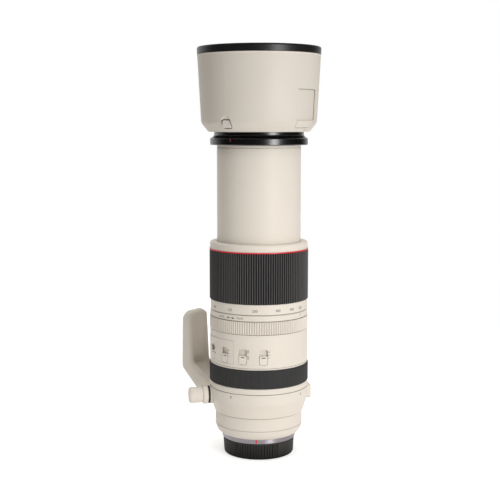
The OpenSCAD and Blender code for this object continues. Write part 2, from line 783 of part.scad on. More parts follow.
// Rear lens cell and glass at the foot of the core barrel.
rear_glass_r = 20;
module rear_cell() color(dark) revolve([
    [rear_glass_r + glass_gap, rear_cell_z], [cell_r, rear_cell_z], [cell_r, rear_cell_z + rear_cell_h],
    [rear_glass_r - 2, rear_cell_z + rear_cell_h], [rear_glass_r - 2, rear_cell_z + 7],
    [rear_glass_r + glass_gap, rear_cell_z + 7]
]);
module rear_glass() color(clear_glass) lens(rear_glass_r, rear_cell_z + 1.5, rear_cell_z + 6.9, 1.2, -1);

// Two rods that the focus cell slides on, between the rear cell and the iris.
rod_angles = [0, 180];
module guide_rods() color(steel) for (a = rod_angles) at(a)
    translate([rod_orbit, 0, rod_low]) cylinder(h = iris_z - rod_low, r = rod_r, $fn = 32);

// Linear focus motor on the wall of the core barrel.
motor_w = 12;
motor_in = core_in - 5.4;
module focus_motor() color(alloy) at(90)
    slab(motor_in, core_in - 0.9, motor_w, rod_low + 2, iris_z - 2);

// Focus cell and glass: slide on the rods, with a notch past the motor.
focus_glass_r = 21;
rod_fit = 0.08;
module focus_cell() color(dark) difference() {
    revolve([
        [focus_glass_r + glass_gap, focus_cell_z], [cell_r, focus_cell_z],
        [cell_r, focus_cell_z + focus_cell_h], [focus_glass_r - 2, focus_cell_z + focus_cell_h],
        [focus_glass_r - 2, focus_cell_z + 8], [focus_glass_r + glass_gap, focus_cell_z + 8]
    ]);
    for (a = rod_angles) at(a) translate([rod_orbit, 0, focus_cell_z - 1])
        cylinder(h = focus_cell_h + 2, r = rod_r + rod_fit, $fn = 32);
    at(90) slab(motor_in - 2 * run_gap, core_in + 2, motor_w + 4 * run_gap, focus_cell_z - 1,
        focus_cell_z + focus_cell_h + 1);
}
module focus_glass() color(clear_glass) lens(focus_glass_r, focus_cell_z + 2, focus_cell_z + 7.9, -1, -1);

// Iris unit: a closed ring that the blades fold into when the lens is wide open.
iris_open_r = 17;
module iris_unit() color(dark) revolve([
    [iris_open_r, iris_z], [cell_r, iris_z], [cell_r, iris_z + iris_h], [iris_open_r + 5, iris_z + iris_h],
    [iris_open_r + 5, iris_z + iris_h - 2], [iris_open_r, iris_z + iris_h - 2]
]);

// Image stabiliser: a cup, a plate that shifts sideways and a cell that shifts up and down.
stab_glass_r = 16;
cup_wall = 1.5;
slider_plate_z = stab_z + stab_base_h + run_gap;
stab_cell_z = slider_plate_z + stab_plate_h + run_gap;
stab_cell_h = 7;
slider_plate_r = cell_r - cup_wall - stab_move - 2 * run_gap;
stab_cell_r = slider_plate_r - stab_move - run_gap;
module stabiliser_base() color(alloy) revolve([
    [iris_open_r + 5, stab_z], [cell_r, stab_z], [cell_r, stab_cell_z + stab_cell_h],
    [cell_r - cup_wall, stab_cell_z + stab_cell_h], [cell_r - cup_wall, stab_z + stab_base_h],
    [iris_open_r + 5, stab_z + stab_base_h]
]);
module stabiliser_slider() color(alloy)
    tube(slider_plate_r, iris_open_r + 3, slider_plate_z, slider_plate_z + stab_plate_h);
module stabiliser_cell() color(dark) revolve([
    [stab_glass_r + glass_gap, stab_cell_z], [stab_cell_r, stab_cell_z], [stab_cell_r, stab_cell_z + 3],
    [stab_glass_r + 3, stab_cell_z + stab_cell_h], [stab_glass_r - 1.5, stab_cell_z + stab_cell_h],
    [stab_glass_r - 1.5, stab_cell_z + 5.5], [stab_glass_r + glass_gap, stab_cell_z + 5.5]
]);
module stabiliser_glass() color(clear_glass)
    lens(stab_glass_r, stab_cell_z + 1, stab_cell_z + 5.4, -0.6, 0.6);

// Variator: the inner zoom group, keyed to the core barrel's slots.
variator_glass_r = 25;
module variator_cell() color(dark) {
    revolve([
        [variator_glass_r + glass_gap, variator_z], [cell_r, variator_z], [cell_r, variator_z + variator_h],
        [variator_glass_r - 2, variator_z + variator_h], [variator_glass_r - 2, variator_z + 9],
        [variator_glass_r + glass_gap, variator_z + 9]
    ]);
    for (a = roller_angles) at(a) slab(cell_r - 1, core_r - run_gap, key_w, key_low, key_high);
}
module variator_glass() color(clear_glass)
    lens(variator_glass_r, variator_z + 2, variator_z + 8.9, -1.5, -1.5);

// Extension tube, with a seam near its front and a hole for each roller's stem near its rear end.
tube_seam_z = z_ring - 2.6;
module extension_tube() color(cream) difference() {
    revolve([
        [tube_in, tube_z], [tube_r, tube_z], [tube_r, tube_seam_z], [tube_r - seam_w, tube_seam_z],
        [tube_r - seam_w, tube_seam_z + seam_w], [tube_r, tube_seam_z + seam_w], [tube_r, z_ring],
        [tube_in, z_ring]
    ]);
    for (a = roller_angles) at(a) spoke(stem_r + seat_gap, tube_in - 2, tube_r + 2, roller_z);
}

// Cam rollers on stems in the tube's wall.
module cam_rollers() color(steel) for (a = roller_angles) at(a) {
    spoke(roller_r, tube_r + seat_gap, roller_reach, roller_z);
    spoke(stem_r, tube_in + 0.4, tube_r + 1, roller_z);
}

// Black front ring: stop flange, hood bayonet and filter thread.
front_lug_h = 1.6;
front_lug_z = hood_lug_z + hood_lug_h + run_gap;
module front_ring() color(dark) {
    revolve(concat(
        [
            [tube_in, z_ring], [flange_r - edge, z_ring], [flange_r, z_ring + edge],
            [flange_r, z_neck - edge], [flange_r - edge, z_neck]
        ],
        curve([neck_r + 1, z_flare - 1], [neck_r, z_flare], [neck_r, z_flare + 1], 4),
        [
            [neck_r, z_rim - 0.3], [neck_r - 0.3, z_rim], [filter_r, z_rim], [filter_r, z_rim - thread_len],
            [tube_in, z_rim - thread_len]
        ]
    ));
    for (i = [0 : lug_count - 1]) at(i * 360 / lug_count + 45)
        lug(neck_r + 1.5, neck_r - 0.5, front_lug_z, front_lug_z + front_lug_h, lug_angle);
}

// Front lens cell with its two glasses and the retainer ring before them.
front_cell_r = tube_in - run_gap;
module front_cell() color(dark) revolve([
    [front_glass_r - 2, front_cell_z], [front_cell_r, front_cell_z], [front_cell_r, front_cell_top],
    [front_glass_r + glass_gap, front_cell_top], [front_glass_r + glass_gap, z_ring - 3],
    [front_glass_r - 1.5, z_ring - 3], [front_glass_r - 1.5, z_ring - 5.5],
    [front_glass_r + glass_gap, z_ring - 5.5], [front_glass_r + glass_gap, front_cell_z + 1.4],
    [front_glass_r - 2, front_cell_z + 1.4]
]);
module front_glass() color(clear_glass) lens(front_glass_r, z_ring - 2.9, z_ring + 4.5, 1, 4);
module front_inner_glass() color(clear_glass)
    lens(front_glass_r, front_cell_z + 1.5, z_ring - 5.6, -1.5, 0.8);
module front_retainer() color(dark) {
    retainer_z = front_cell_top + seat_gap;
    revolve([
        [front_glass_r - 0.6, z_ring + 4.6], [front_glass_r, z_ring + 4.6], [front_glass_r, retainer_z],
        [front_cell_r, retainer_z], [front_cell_r, retainer_z + 1.2], [front_glass_r - 0.6, retainer_z + 1.2]
    ]);
}

// Hood outline: the solid inside its outer surface.
function wall_r(z) = hood_low_r + (z - z_shoulder) * tan(hood_slope);
function cone_r(z) = hood_base_r + (z - z_hood) * (hood_low_r - hood_base_r) / hood_shoulder_h;
module hood_form() revolve(concat(
    [[0, z_hood]],
    curve([hood_base_r - 0.8, z_hood], [hood_base_r, z_hood], [cone_r(z_hood + 0.8), z_hood + 0.8], 4),
    curve([cone_r(z_shoulder - shoulder_soft), z_shoulder - shoulder_soft], [hood_low_r, z_shoulder],
        [wall_r(z_shoulder + shoulder_soft), z_shoulder + shoulder_soft]),
    [[hood_top_r, z_hood_top], [0, z_hood_top]]
));

// A layer of the hood's wall between two depths below its outer surface.
module hood_layer(d0, d1, z0, z1) revolve([
    [wall_r(z0) - d1, z0], [wall_r(z0) - d0, z0], [wall_r(z1) - d0, z1], [wall_r(z1) - d1, z1]
]);

// A block through the hood's wall at the door, as high as z1, with round lower corners and extra room.
module door_block(room, z1) at(door_angle) translate([hood_in, 0, 0])
    rotate([90, 0, 90])
    linear_extrude(hood_top_r + 5 - hood_in)
    polygon(concat(
        curve([-door_w / 2 - room, door_low + door_round], [-door_w / 2 - room, door_low - room],
            [door_round - door_w / 2, door_low - room], 5),
        curve([door_w / 2 - door_round, door_low - room], [door_w / 2 + room, door_low - room],
            [door_w / 2 + room, door_low + door_round], 5),
        [[door_w / 2 + room, z1], [-door_w / 2 - room, z1]]
    ));

// Opening of the hood's door, on the top side.
module door_window() door_block(run_gap, door_top);

// Hood shell with its bayonet lugs, door window, door track and button window.
module hood_shell() color(cream) difference() {
    union() {
        difference() {
            hood_form();
            revolve([
                [0, z_hood - 1], [hood_in, z_hood - 1], [hood_in, z_hood + 5],
                [wall_r(z_shoulder + 2) - hood_wall, z_shoulder + 2],
                [hood_top_r - hood_wall, z_hood_top],
                [hood_top_r - hood_wall, z_hood_top + 1], [0, z_hood_top + 1]
            ]);
        }
        for (i = [0 : lug_count - 1]) at(i * 360 / lug_count + 45)
            lug(hood_in + 0.5, neck_r + run_gap, hood_lug_z, hood_lug_z + hood_lug_h, lug_angle);
    }
    door_window();
    intersection() {
        hood_layer(door_skin, door_skin + door_t + 2 * run_gap, z_shoulder + 1, door_top + door_shift);
        at(door_angle)
            slab(hood_in, hood_top_r + 5, track_span + 2 * run_gap, z_shoulder, z_hood_top);
    }
    plug(button_in - button_room, hood_top_r + 5, button_w + 2 * button_gap, button_z - button_gap,
        button_z + button_h + button_gap, button_round + button_gap);
    translate([button_out + scoop_r - scoop_depth, 0, button_z + button_h / 2 + 1]) sphere(scoop_r);
}

// Black lining inside the hood, open behind the door.
module hood_lining() color(dark) difference() {
    hood_layer(hood_wall + seat_gap, hood_wall + seat_gap + lining_t, z_shoulder + 4, z_hood_top);
    door_window();
}

// Black rim around the hood's mouth.
module hood_rim() color(dark) {
    rim_r = hood_top_r + 0.15;
    rim_in = hood_top_r - hood_wall;
    rim_top = z_hood_top + rim_h;
    revolve(concat(
        [[rim_in, z_hood_top], [rim_r, z_hood_top]],
        curve([rim_r + 0.2, rim_top - 2], [rim_r + 0.2, rim_top], [rim_r - 1.8, rim_top], 6),
        [[rim_in, rim_top]]
    ));
}

// Sliding door: a thin plate in the track with a thick lip at its foot.
module hood_door() color(cream) {
    intersection() {
        hood_layer(door_skin + run_gap, door_skin + run_gap + door_t,
            z_shoulder + 1 + run_gap, door_top - run_gap);
        at(door_angle) slab(hood_in, hood_top_r + 5, track_span, z_shoulder, z_hood_top);
    }
    intersection() {
        hood_form();
        hood_layer(-2, 5, door_low, door_lip);
        door_block(0, door_lip);
    }
}

// Lock button: pressed inwards to let the hood turn.
module hood_button() color(cream)
    plug(button_in, button_out, button_w, button_z, button_z + button_h, button_round);

rear_cap();
mount_ring();
mount_screws();
contact_block();
contact_pins();
rear_baffle();
main_board();
rear_barrel();
tripod_collar();
tripod_foot();
tripod_socket();
knob_washer();
lock_knob();
index_ring();
focus_ring();
focus_rubber();
main_barrel();
switch_panel();
focus_mode_switch();
focus_range_switch();
stabiliser_switch();
stabiliser_mode_switch();
control_ring();
tension_ring();
zoom_ring();
zoom_rubber();
red_band();
front_collar();
dust_seal();
cam_barrel();
drive_keys();
guide_barrel();
core_barrel();
rear_cell();
rear_glass();
guide_rods();
focus_motor();
focus_cell();
focus_glass();
iris_unit();
stabiliser_base();
stabiliser_slider();
stabiliser_cell();
stabiliser_glass();
variator_cell();
variator_glass();
extension_tube();
cam_rollers();
front_ring();
front_cell();
front_glass();
front_inner_glass();
front_retainer();
hood_shell();
hood_lining();
hood_rim();
hood_door();
hood_button();
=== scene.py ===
import math

import bmesh
import bpy
import numpy as np
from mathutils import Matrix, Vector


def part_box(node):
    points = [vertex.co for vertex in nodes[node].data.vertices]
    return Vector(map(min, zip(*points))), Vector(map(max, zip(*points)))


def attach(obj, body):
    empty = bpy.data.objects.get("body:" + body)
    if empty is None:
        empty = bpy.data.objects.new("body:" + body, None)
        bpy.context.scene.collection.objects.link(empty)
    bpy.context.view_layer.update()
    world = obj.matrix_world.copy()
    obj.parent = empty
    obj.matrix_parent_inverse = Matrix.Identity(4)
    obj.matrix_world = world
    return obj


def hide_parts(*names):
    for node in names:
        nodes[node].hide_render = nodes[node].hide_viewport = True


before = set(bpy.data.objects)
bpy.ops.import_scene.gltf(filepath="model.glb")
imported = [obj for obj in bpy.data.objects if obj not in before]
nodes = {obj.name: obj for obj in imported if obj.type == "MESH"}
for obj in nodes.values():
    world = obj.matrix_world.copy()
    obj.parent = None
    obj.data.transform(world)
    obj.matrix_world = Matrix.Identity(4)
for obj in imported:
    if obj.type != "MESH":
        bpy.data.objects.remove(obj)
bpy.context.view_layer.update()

# Mount ring: a flange turned from brass, plated and polished, with three bayonet lugs behind it.
# Four small screws hold it to the rear barrel, and a drop of red enamel in its edge is the index.
MM = 0.001


def add(tree, kind, inputs=None, **settings):
    """A new node in a tree: settings are its properties, inputs its values or the sockets that feed it."""
    node = tree.nodes.new(kind)
    for name, value in settings.items():
        setattr(node, name, value)
    for key, value in (inputs or {}).items():
        if isinstance(value, bpy.types.NodeSocket):
            tree.links.new(value, node.inputs[key])
        else:
            node.inputs[key].default_value = value
    return node


def node_group(name, inputs, outputs):
    """An empty shader node group with float inputs {label: value} and outputs {label: kind}."""
    tree = bpy.data.node_groups.new(name, "ShaderNodeTree")
    for label, value in inputs.items():
        tree.interface.new_socket(label, in_out="INPUT", socket_type="NodeSocketFloat").default_value = value
    for label, kind in outputs.items():
        tree.interface.new_socket(label, in_out="OUTPUT", socket_type=f"NodeSocket{kind}")
    return tree, tree.nodes.new("NodeGroupInput").outputs, tree.nodes.new("NodeGroupOutput").inputs


def grain_group():
    """Fine surface grain: noise at a set scale as a height, and a broad mottle that shifts colour and gloss."""
    tree, given, out = node_group("surface grain", {"Scale": 2500.0}, {"Height": "Float", "Mottle": "Float"})
    place = add(tree, "ShaderNodeTexCoord").outputs["Object"]
    fine = add(tree, "ShaderNodeTexNoise", {"Vector": place, "Scale": given["Scale"], "Detail": 3.0})
    broad = add(tree, "ShaderNodeTexNoise", {"Vector": place, "Scale": 38.0, "Detail": 4.0, "Roughness": 0.6})
    tree.links.new(fine.outputs["Fac"], out["Height"])
    tree.links.new(broad.outputs["Fac"], out["Mottle"])
    return tree


def axis_distance(tree):
    """An object's own coordinates, and the distance to the optical axis."""
    place = add(tree, "ShaderNodeTexCoord").outputs["Object"]
    parts = add(tree, "ShaderNodeSeparateXYZ", {"Vector": place}).outputs
    flat = add(tree, "ShaderNodeCombineXYZ", {"X": parts["X"], "Y": parts["Y"]}).outputs[0]
    return parts, add(tree, "ShaderNodeVectorMath", {0: flat}, operation="LENGTH").outputs["Value"]


def lathe_group():
    """Lathe marks: noise read from the height and the distance to the optical axis alone, so its lines run round."""
    tree, given, out = node_group("lathe marks", {"Scale": 4000.0}, {"Height": "Float"})
    parts, away = axis_distance(tree)
    line = add(tree, "ShaderNodeCombineXYZ", {"X": away, "Z": parts["Z"]}).outputs[0]
    lines = add(tree, "ShaderNodeTexNoise", {"Vector": line, "Scale": given["Scale"], "Detail": 2.0})
    tree.links.new(lines.outputs["Fac"], out["Height"])
    return tree


def edge_group():
    """Edges rounded over a radius: the rounded normal, and a mask that is 1 where it leaves the true one."""
    tree, given, out = node_group("rounded edges", {"Radius": 0.3 * MM}, {"Normal": "Vector", "Edge": "Float"})
    rounded = add(tree, "ShaderNodeBevel", {"Radius": given["Radius"]}, samples=6)
    true = add(tree, "ShaderNodeNewGeometry").outputs["Normal"]
    along = add(tree, "ShaderNodeVectorMath", {0: rounded.outputs["Normal"], 1: true}, operation="DOT_PRODUCT")
    mask = add(tree, "ShaderNodeMapRange", {"Value": along.outputs["Value"], "From Min": 0.995, "From Max": 0.85})
    tree.links.new(rounded.outputs["Normal"], out["Normal"])
    tree.links.new(mask.outputs["Result"], out["Edge"])
    return tree


def seam_dirt_and_shade_group():
    """Dirt and painted shade in seams: 1 in corners narrower than the reach, 0 on open faces."""
    tree, given, out = node_group("seam dirt and painted shade", {"Reach": 1.5 * MM}, {"Mask": "Float"})
    open_share = add(tree, "ShaderNodeAmbientOcclusion", {"Distance": given["Reach"]}, samples=6)
    mask = add(tree, "ShaderNodeMapRange", {"Value": open_share.outputs["AO"], "From Min": 0.85, "From Max": 0.2})
    tree.links.new(mask.outputs["Result"], out["Mask"])
    return tree


GRAIN, LATHE, EDGES, SEAM_DIRT_AND_SHADE = grain_group(), lathe_group(), edge_group(), seam_dirt_and_shade_group()


def effect(tree, group, **inputs):
    """A node group placed in a material's tree, with its inputs set: its outputs."""
    return add(tree, "ShaderNodeGroup", node_tree=group, inputs=inputs).outputs


def mixed(tree, share, a, b):
    """Colour a mixed towards colour b by a share."""
    mix = add(tree, "ShaderNodeMix", {"Factor": share}, data_type="RGBA")
    for socket, value in ((mix.inputs[6], a), (mix.inputs[7], b)):
        if isinstance(value, bpy.types.NodeSocket):
            tree.links.new(value, socket)
        else:
            socket.default_value = (*value, 1.0)
    return mix.outputs[2]


def scaled(tree, value, low, high):
    """A 0..1 value mapped to low..high."""
    spread = {"Value": value, "To Min": low, "To Max": high}
    return add(tree, "ShaderNodeMapRange", spread).outputs["Result"]


def product(tree, a, b):
    """Two values multiplied."""
    return add(tree, "ShaderNodeMath", {0: a, 1: b}, operation="MULTIPLY").outputs[0]


MOTTLE = (-0.4, 1.4)


def finish(name, colour, shade, worn, dirt_and_shade, rough, grain=2500.0, depth=0.012, edge=0.3, wear=0.5, seam=1.5,
           grime_and_shade=0.55, lathe=False, **sockets):
    """A surface: mottled colour, worn edges, dirt and painted shade in its seams, and grain or lathe marks as bump.

    colour mottles towards shade, edges wear towards worn by the wear share, and seams darken towards
    dirt_and_shade by grime_and_shade, as dirt and painted shade.
    rough is the roughness (low, high); edge, seam and depth (the height of the grain) are in mm.
    """
    material = bpy.data.materials.new(name)
    material.use_nodes = True
    tree = material.node_tree
    shader = tree.nodes["Principled BSDF"]
    mottle = effect(tree, GRAIN, Scale=grain)["Mottle"]
    height = effect(tree, LATHE if lathe else GRAIN, Scale=grain)["Height"]
    edges = effect(tree, EDGES, Radius=edge * MM)
    # Painted shade, with dirt: ambient occlusion darkens narrow seams and corners.
    seam_dirt_and_shade = effect(tree, SEAM_DIRT_AND_SHADE, Reach=seam * MM)["Mask"]
    paint = mixed(tree, scaled(tree, mottle, *MOTTLE), colour, shade)
    paint = mixed(tree, product(tree, edges["Edge"], scaled(tree, mottle, 0.0, wear)), paint, worn)
    paint = mixed(tree, product(tree, seam_dirt_and_shade, grime_and_shade), paint, dirt_and_shade)
    bump = add(tree, "ShaderNodeBump", {"Height": height, "Distance": depth * MM, "Normal": edges["Normal"]})
    tree.links.new(paint, shader.inputs["Base Color"])
    tree.links.new(scaled(tree, mottle, *rough), shader.inputs["Roughness"])
    tree.links.new(bump.outputs["Normal"], shader.inputs["Normal"])
    if "Anisotropic" in sockets:
        tangent = add(tree, "ShaderNodeTangent", direction_type="RADIAL", axis="Z").outputs["Tangent"]
        tree.links.new(tangent, shader.inputs["Tangent"])
    for socket, value in sockets.items():
        shader.inputs[socket.replace("_", " ")].default_value = value
    return material


def dress(material, *names):
    """Gives CAD nodes one material."""
    for name in names:
        nodes[name].data.materials.clear()
        nodes[name].data.materials.append(material)


def grid_faces(nu, nv, wrap_u, wrap_v):
    """Quads between neighbours of an nu by nv grid of points, closed round in u or v where asked."""
    u, v = np.meshgrid(np.arange(nu if wrap_u else nu - 1), np.arange(nv if wrap_v else nv - 1), indexing="ij")
    next_u, next_v = (u + 1) % nu, (v + 1) % nv
    return np.stack([u * nv + v, next_u * nv + v, next_u * nv + next_v, u * nv + next_v], axis=-1).reshape(-1, 4)


def flat_mark(across, reach, thick):
    """A thin closed form of columns: each stands at a place across and reaches both ways along, from back to front."""
    count = len(across)
    corners = [(-reach, -thick), (reach, -thick), (reach, thick), (-reach, thick)]
    points = np.stack([np.stack([across, y, np.full(count, z)], axis=-1) for y, z in corners], axis=1)
    last = 4 * count - 1
    ends = np.array([[0, 1, 2, 3], [last, last - 1, last - 2, last - 3]])
    return points.reshape(-1, 3), np.concatenate([grid_faces(count, 4, False, True), ends])


INK, LEAST_STRAIGHT = 0.02 * MM, 0.02


def pill(width, height, thick=INK, columns=11):
    """A flat mark with round ends, upright or lying, whichever side is longer.

    Columns stand at w sin t across the mark, w being half its shorter side; each reaches both ways along it by
    the straight half length plus w cos t.
    """
    w = min(width, height) / 2
    t = np.linspace(-math.pi / 2, math.pi / 2, columns)
    reach = max(max(width, height) / 2 - w, w * LEAST_STRAIGHT) + w * np.cos(t)
    points, faces = flat_mark(w * np.sin(t), reach, thick)
    return (points if height > width else points[:, [1, 0, 2]]), faces


def wrapped(part, radius, polar, height, lean=0.0):
    """Flat points laid round the lens: x runs round the axis from a polar angle, y up it and z out of it.

    lean is the growth of the radius with height, for a mark on a cone.
    """
    points, faces = part
    turn = math.radians(polar) + points[:, 0] / radius
    r = radius + points[:, 2] + lean * points[:, 1]
    return np.stack([r * np.cos(turn), r * np.sin(turn), height + points[:, 1]], axis=-1), faces


def outward(points, faces):
    """Faces that point outwards: reversed where the volume they enclose, summed over fans, is negative."""
    corners = [points[faces[:, i]] for i in range(faces.shape[1])]
    volume = sum(np.sum(corners[0] * np.cross(corners[i], corners[i + 1])) for i in range(1, len(corners) - 1))
    return faces if volume > 0 else faces[:, ::-1]


def piece(name, parts, material, body, replaces=(), crease=35):
    """One object from closed parts of points and faces, smooth up to a crease angle, riding on a CAD body."""
    starts = np.cumsum([0] + [len(points) for points, _ in parts])
    faces = [face for (points, part), start in zip(parts, starts)
             for face in (outward(points, part) + start).tolist()]
    mesh = bpy.data.meshes.new(name)
    mesh.from_pydata(np.concatenate([points for points, _ in parts]).tolist(), [], faces)
    mesh.materials.append(material)
    mesh.shade_smooth()
    mesh.set_sharp_from_angle(angle=math.radians(crease))
    made = bpy.data.objects.new(name, mesh)
    bpy.context.scene.collection.objects.link(made)
    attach(made, body)
    if replaces:
        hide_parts(*replaces)


steel = finish("turned steel", (0.37, 0.34, 0.37), (0.31, 0.285, 0.31), (0.7, 0.69, 0.71), (0.1, 0.09, 0.09),
               rough=(0.35, 0.45), grain=5000.0, depth=0.006, lathe=True, Metallic=1.0, Anisotropic=0.8,
               Anisotropic_Rotation=0.25)
dress(steel, "mount_ring")
small_steel = finish("bright screws and rods", (0.55, 0.55, 0.57), (0.5, 0.5, 0.52), (0.75, 0.75, 0.76),
                     (0.08, 0.08, 0.08), rough=(0.22, 0.35), grain=3000.0, depth=0.004, Metallic=1.0)
dress(small_steel, "mount_screws", "drive_keys", "cam_rollers", "guide_rods", "tripod_socket")
red_paint = finish("red enamel", (0.8, 0.016, 0.036), (0.74, 0.014, 0.03), (0.6, 0.2, 0.2), (0.2, 0.02, 0.02),
                   rough=(0.3, 0.4), edge=0.1)
mount_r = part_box("mount_ring")[1][0]
INDEX_POLAR, INDEX_Z = 30, 18.4 * MM
mount_drop = pill(width=1.7 * MM, height=3.2 * MM, thick=0.06 * MM)
piece("mount_index", [wrapped(mount_drop, mount_r, INDEX_POLAR, INDEX_Z)], red_paint, "barrel")

# Contacts behind the mount: a black moulded block with a row of gold-plated pins, sprung against the
# camera's own. A black funnel shades the last glass, and a round circuit board sits behind it.
black_inner = finish("matt black anodising", (0.018, 0.018, 0.018), (0.022, 0.022, 0.022), (0.05, 0.05, 0.05),
                     (0.02, 0.02, 0.02), rough=(0.6, 0.8), grain=4000.0, lathe=True, Specular_IOR_Level=0.2)
dress(black_inner, "contact_block", "rear_baffle")
gold = finish("gold plate", (0.8, 0.58, 0.22), (0.75, 0.52, 0.2), (0.85, 0.7, 0.4), (0.2, 0.14, 0.05),
              rough=(0.2, 0.3), edge=0.1, Metallic=1.0)
dress(gold, "contact_pins")
board = finish("circuit board", (0.02, 0.11, 0.06), (0.03, 0.13, 0.07), (0.3, 0.25, 0.12), (0.02, 0.04, 0.03),
               rough=(0.35, 0.5), grain=900.0)
dress(board, "main_board")

# Inner optics: ground and coated glasses in black cells, the focus group on two rods beside its motor,
# the iris, the stabiliser's sliding cells and the inner zoom group, all in one core barrel.
dress(black_inner, "core_barrel", "rear_cell", "focus_cell", "iris_unit", "stabiliser_cell", "variator_cell")
alloy = finish("bare alloy", (0.36, 0.37, 0.39), (0.32, 0.33, 0.35), (0.6, 0.6, 0.6), (0.08, 0.08, 0.08),
               rough=(0.3, 0.45), grain=4500.0, depth=0.008, lathe=True, Metallic=1.0)
dress(alloy, "focus_motor", "stabiliser_base", "stabiliser_slider")


def coated_glass(name, tint):
    """Clear glass with a thin coating that tints what it reflects, and faint smears that blur it in places."""
    material = bpy.data.materials.new(name)
    material.use_nodes = True
    tree = material.node_tree
    shader = tree.nodes["Principled BSDF"]
    constants = {"Base Color": (0.96, 0.98, 0.97, 1), "IOR": 1.5, "Transmission Weight": 1.0,
                 "Specular IOR Level": 0.5, "Specular Tint": tint}
    for socket, value in constants.items():
        shader.inputs[socket].default_value = value
    smear = effect(tree, GRAIN, Scale=200.0)["Mottle"]
    tree.links.new(scaled(tree, smear, 0.0, 0.05), shader.inputs["Roughness"])
    return material


dress(coated_glass("purple coated glass", (0.62, 0.45, 1.0, 1)), "front_glass", "focus_glass", "stabiliser_glass")
dress(coated_glass("green coated glass", (0.5, 0.95, 0.7, 1)), "front_inner_glass", "variator_glass", "rear_glass")

# Zoom drive: a guide barrel with straight slots and a cam barrel with helical slots, both turned from
# alloy tube. Steel rollers on the extension tube run in them, and keys tie the cam to the zoom ring.
dress(alloy, "guide_barrel", "cam_barrel")

# Barrels: die-cast and turned, sprayed with a warm-white satin enamel that keeps the heat out, and baked.
# The coat has a very fine orange peel, and wears towards grey primer where hands and bags rub it.
CREAM, CREAM_SHADE = (0.785, 0.722, 0.636), (0.765, 0.7, 0.612)
enamel = finish("warm white enamel", CREAM, CREAM_SHADE, (0.64, 0.6, 0.55), (0.09, 0.076, 0.062),
                rough=(0.42, 0.54), wear=0.35, seam=0.7, grime_and_shade=0.75, Specular_IOR_Level=0.32)
dress(enamel, "rear_barrel", "index_ring", "main_barrel")

# Switches: a thin raised plate and four sliding knobs, moulded in the barrel's colour and clipped into
# tracks under their pockets. An inked line on each knob points at its marks, which are printed beside it.
dress(enamel, "switch_panel")
switch_plastic = finish("switch plastic", (0.80, 0.74, 0.66), (0.78, 0.715, 0.632), (0.66, 0.62, 0.57),
                        (0.2, 0.17, 0.15), rough=(0.45, 0.6), grain=1800.0, seam=0.7, Specular_IOR_Level=0.35)
ink = finish("printed ink", (0.05, 0.048, 0.046), (0.07, 0.068, 0.064), (0.2, 0.19, 0.17), (0.05, 0.05, 0.05),
             rough=(0.5, 0.65), edge=0.02, depth=0.003)


def lettering(words, size, turned=False):
    """Figures or a short word: flat triangles with a small thickness, centred, turned to read upwards if asked."""
    curve = bpy.data.curves.new("lettering", "FONT")
    curve.body, curve.size, curve.extrude, curve.resolution_u = words, size, INK, 3
    curve.align_x, curve.align_y = "CENTER", "CENTER"
    holder = bpy.data.objects.new("lettering", curve)
    flat = bpy.data.meshes.new_from_object(holder)
    form = bmesh.new()
    form.from_mesh(flat)
    bmesh.ops.remove_doubles(form, verts=form.verts, dist=1e-7)
    bmesh.ops.triangulate(form, faces=form.faces)
    form.to_mesh(flat)
    form.free()
    points, corners = np.empty(3 * len(flat.vertices)), np.empty(len(flat.loops), dtype=int)
    flat.vertices.foreach_get("co", points)
    flat.loops.foreach_get("vertex_index", corners)
    bpy.data.objects.remove(holder)
    bpy.data.curves.remove(curve)
    bpy.data.meshes.remove(flat)
    points = points.reshape(-1, 3)
    if turned:
        points = points[:, [1, 0, 2]] * np.array([-1, 1, 1])
    return points, corners.reshape(-1, 3)


KNOB_R, BARREL_R, PLATE_R = 46.46 * MM, 46.5 * MM, 46.95 * MM
MARK_SIZE, MARK_TURN, TICK_BACK = 2.3 * MM, 6.6, 1.6
LINE_LOW, LINE_HIGH = 101.0 * MM, 106.5 * MM
switches = {
    "focus_mode_switch": (-33, PLATE_R, ["M", "A"]),
    "focus_range_switch": (-9, PLATE_R, ["1", "2", "3"]),
    "stabiliser_switch": (15, BARREL_R, ["OFF", "ON"]),
    "stabiliser_mode_switch": (39, BARREL_R, ["1", "2", "3"]),
}
knob_line = pill(width=3.5 * MM, height=0.72 * MM, thick=0.1 * MM)
tick = pill(width=0.9 * MM, height=0.34 * MM)
switch_marks = []
for name, (polar, radius, words) in switches.items():
    dress(switch_plastic, name)
    piece(f"{name}_line", [wrapped(knob_line, KNOB_R, polar, LINE_LOW)], ink, name)
    for height, word in zip(np.linspace(LINE_LOW, LINE_HIGH, len(words)), words):
        switch_marks.append(wrapped(lettering(word, MARK_SIZE, turned=True), radius, polar + MARK_TURN, height))
        switch_marks.append(wrapped(tick, radius, polar + MARK_TURN - TICK_BACK, height))
piece("switch_marks", switch_marks, ink, "barrel")

# Focus ring: an alloy ring that turns on the main barrel, under a moulded rubber sleeve with fine
# straight ribs. Skin oil polishes the rib tops, and painted shade darkens the gaps between them.
dress(alloy, "focus_ring")
rubber = finish("ribbed rubber", (0.037, 0.036, 0.036), (0.045, 0.044, 0.043), (0.09, 0.088, 0.086),
                (0.022, 0.021, 0.021), rough=(0.6, 0.75), grain=3000.0, depth=0.02, edge=0.12, seam=0.8,
                Specular_IOR_Level=0.3)


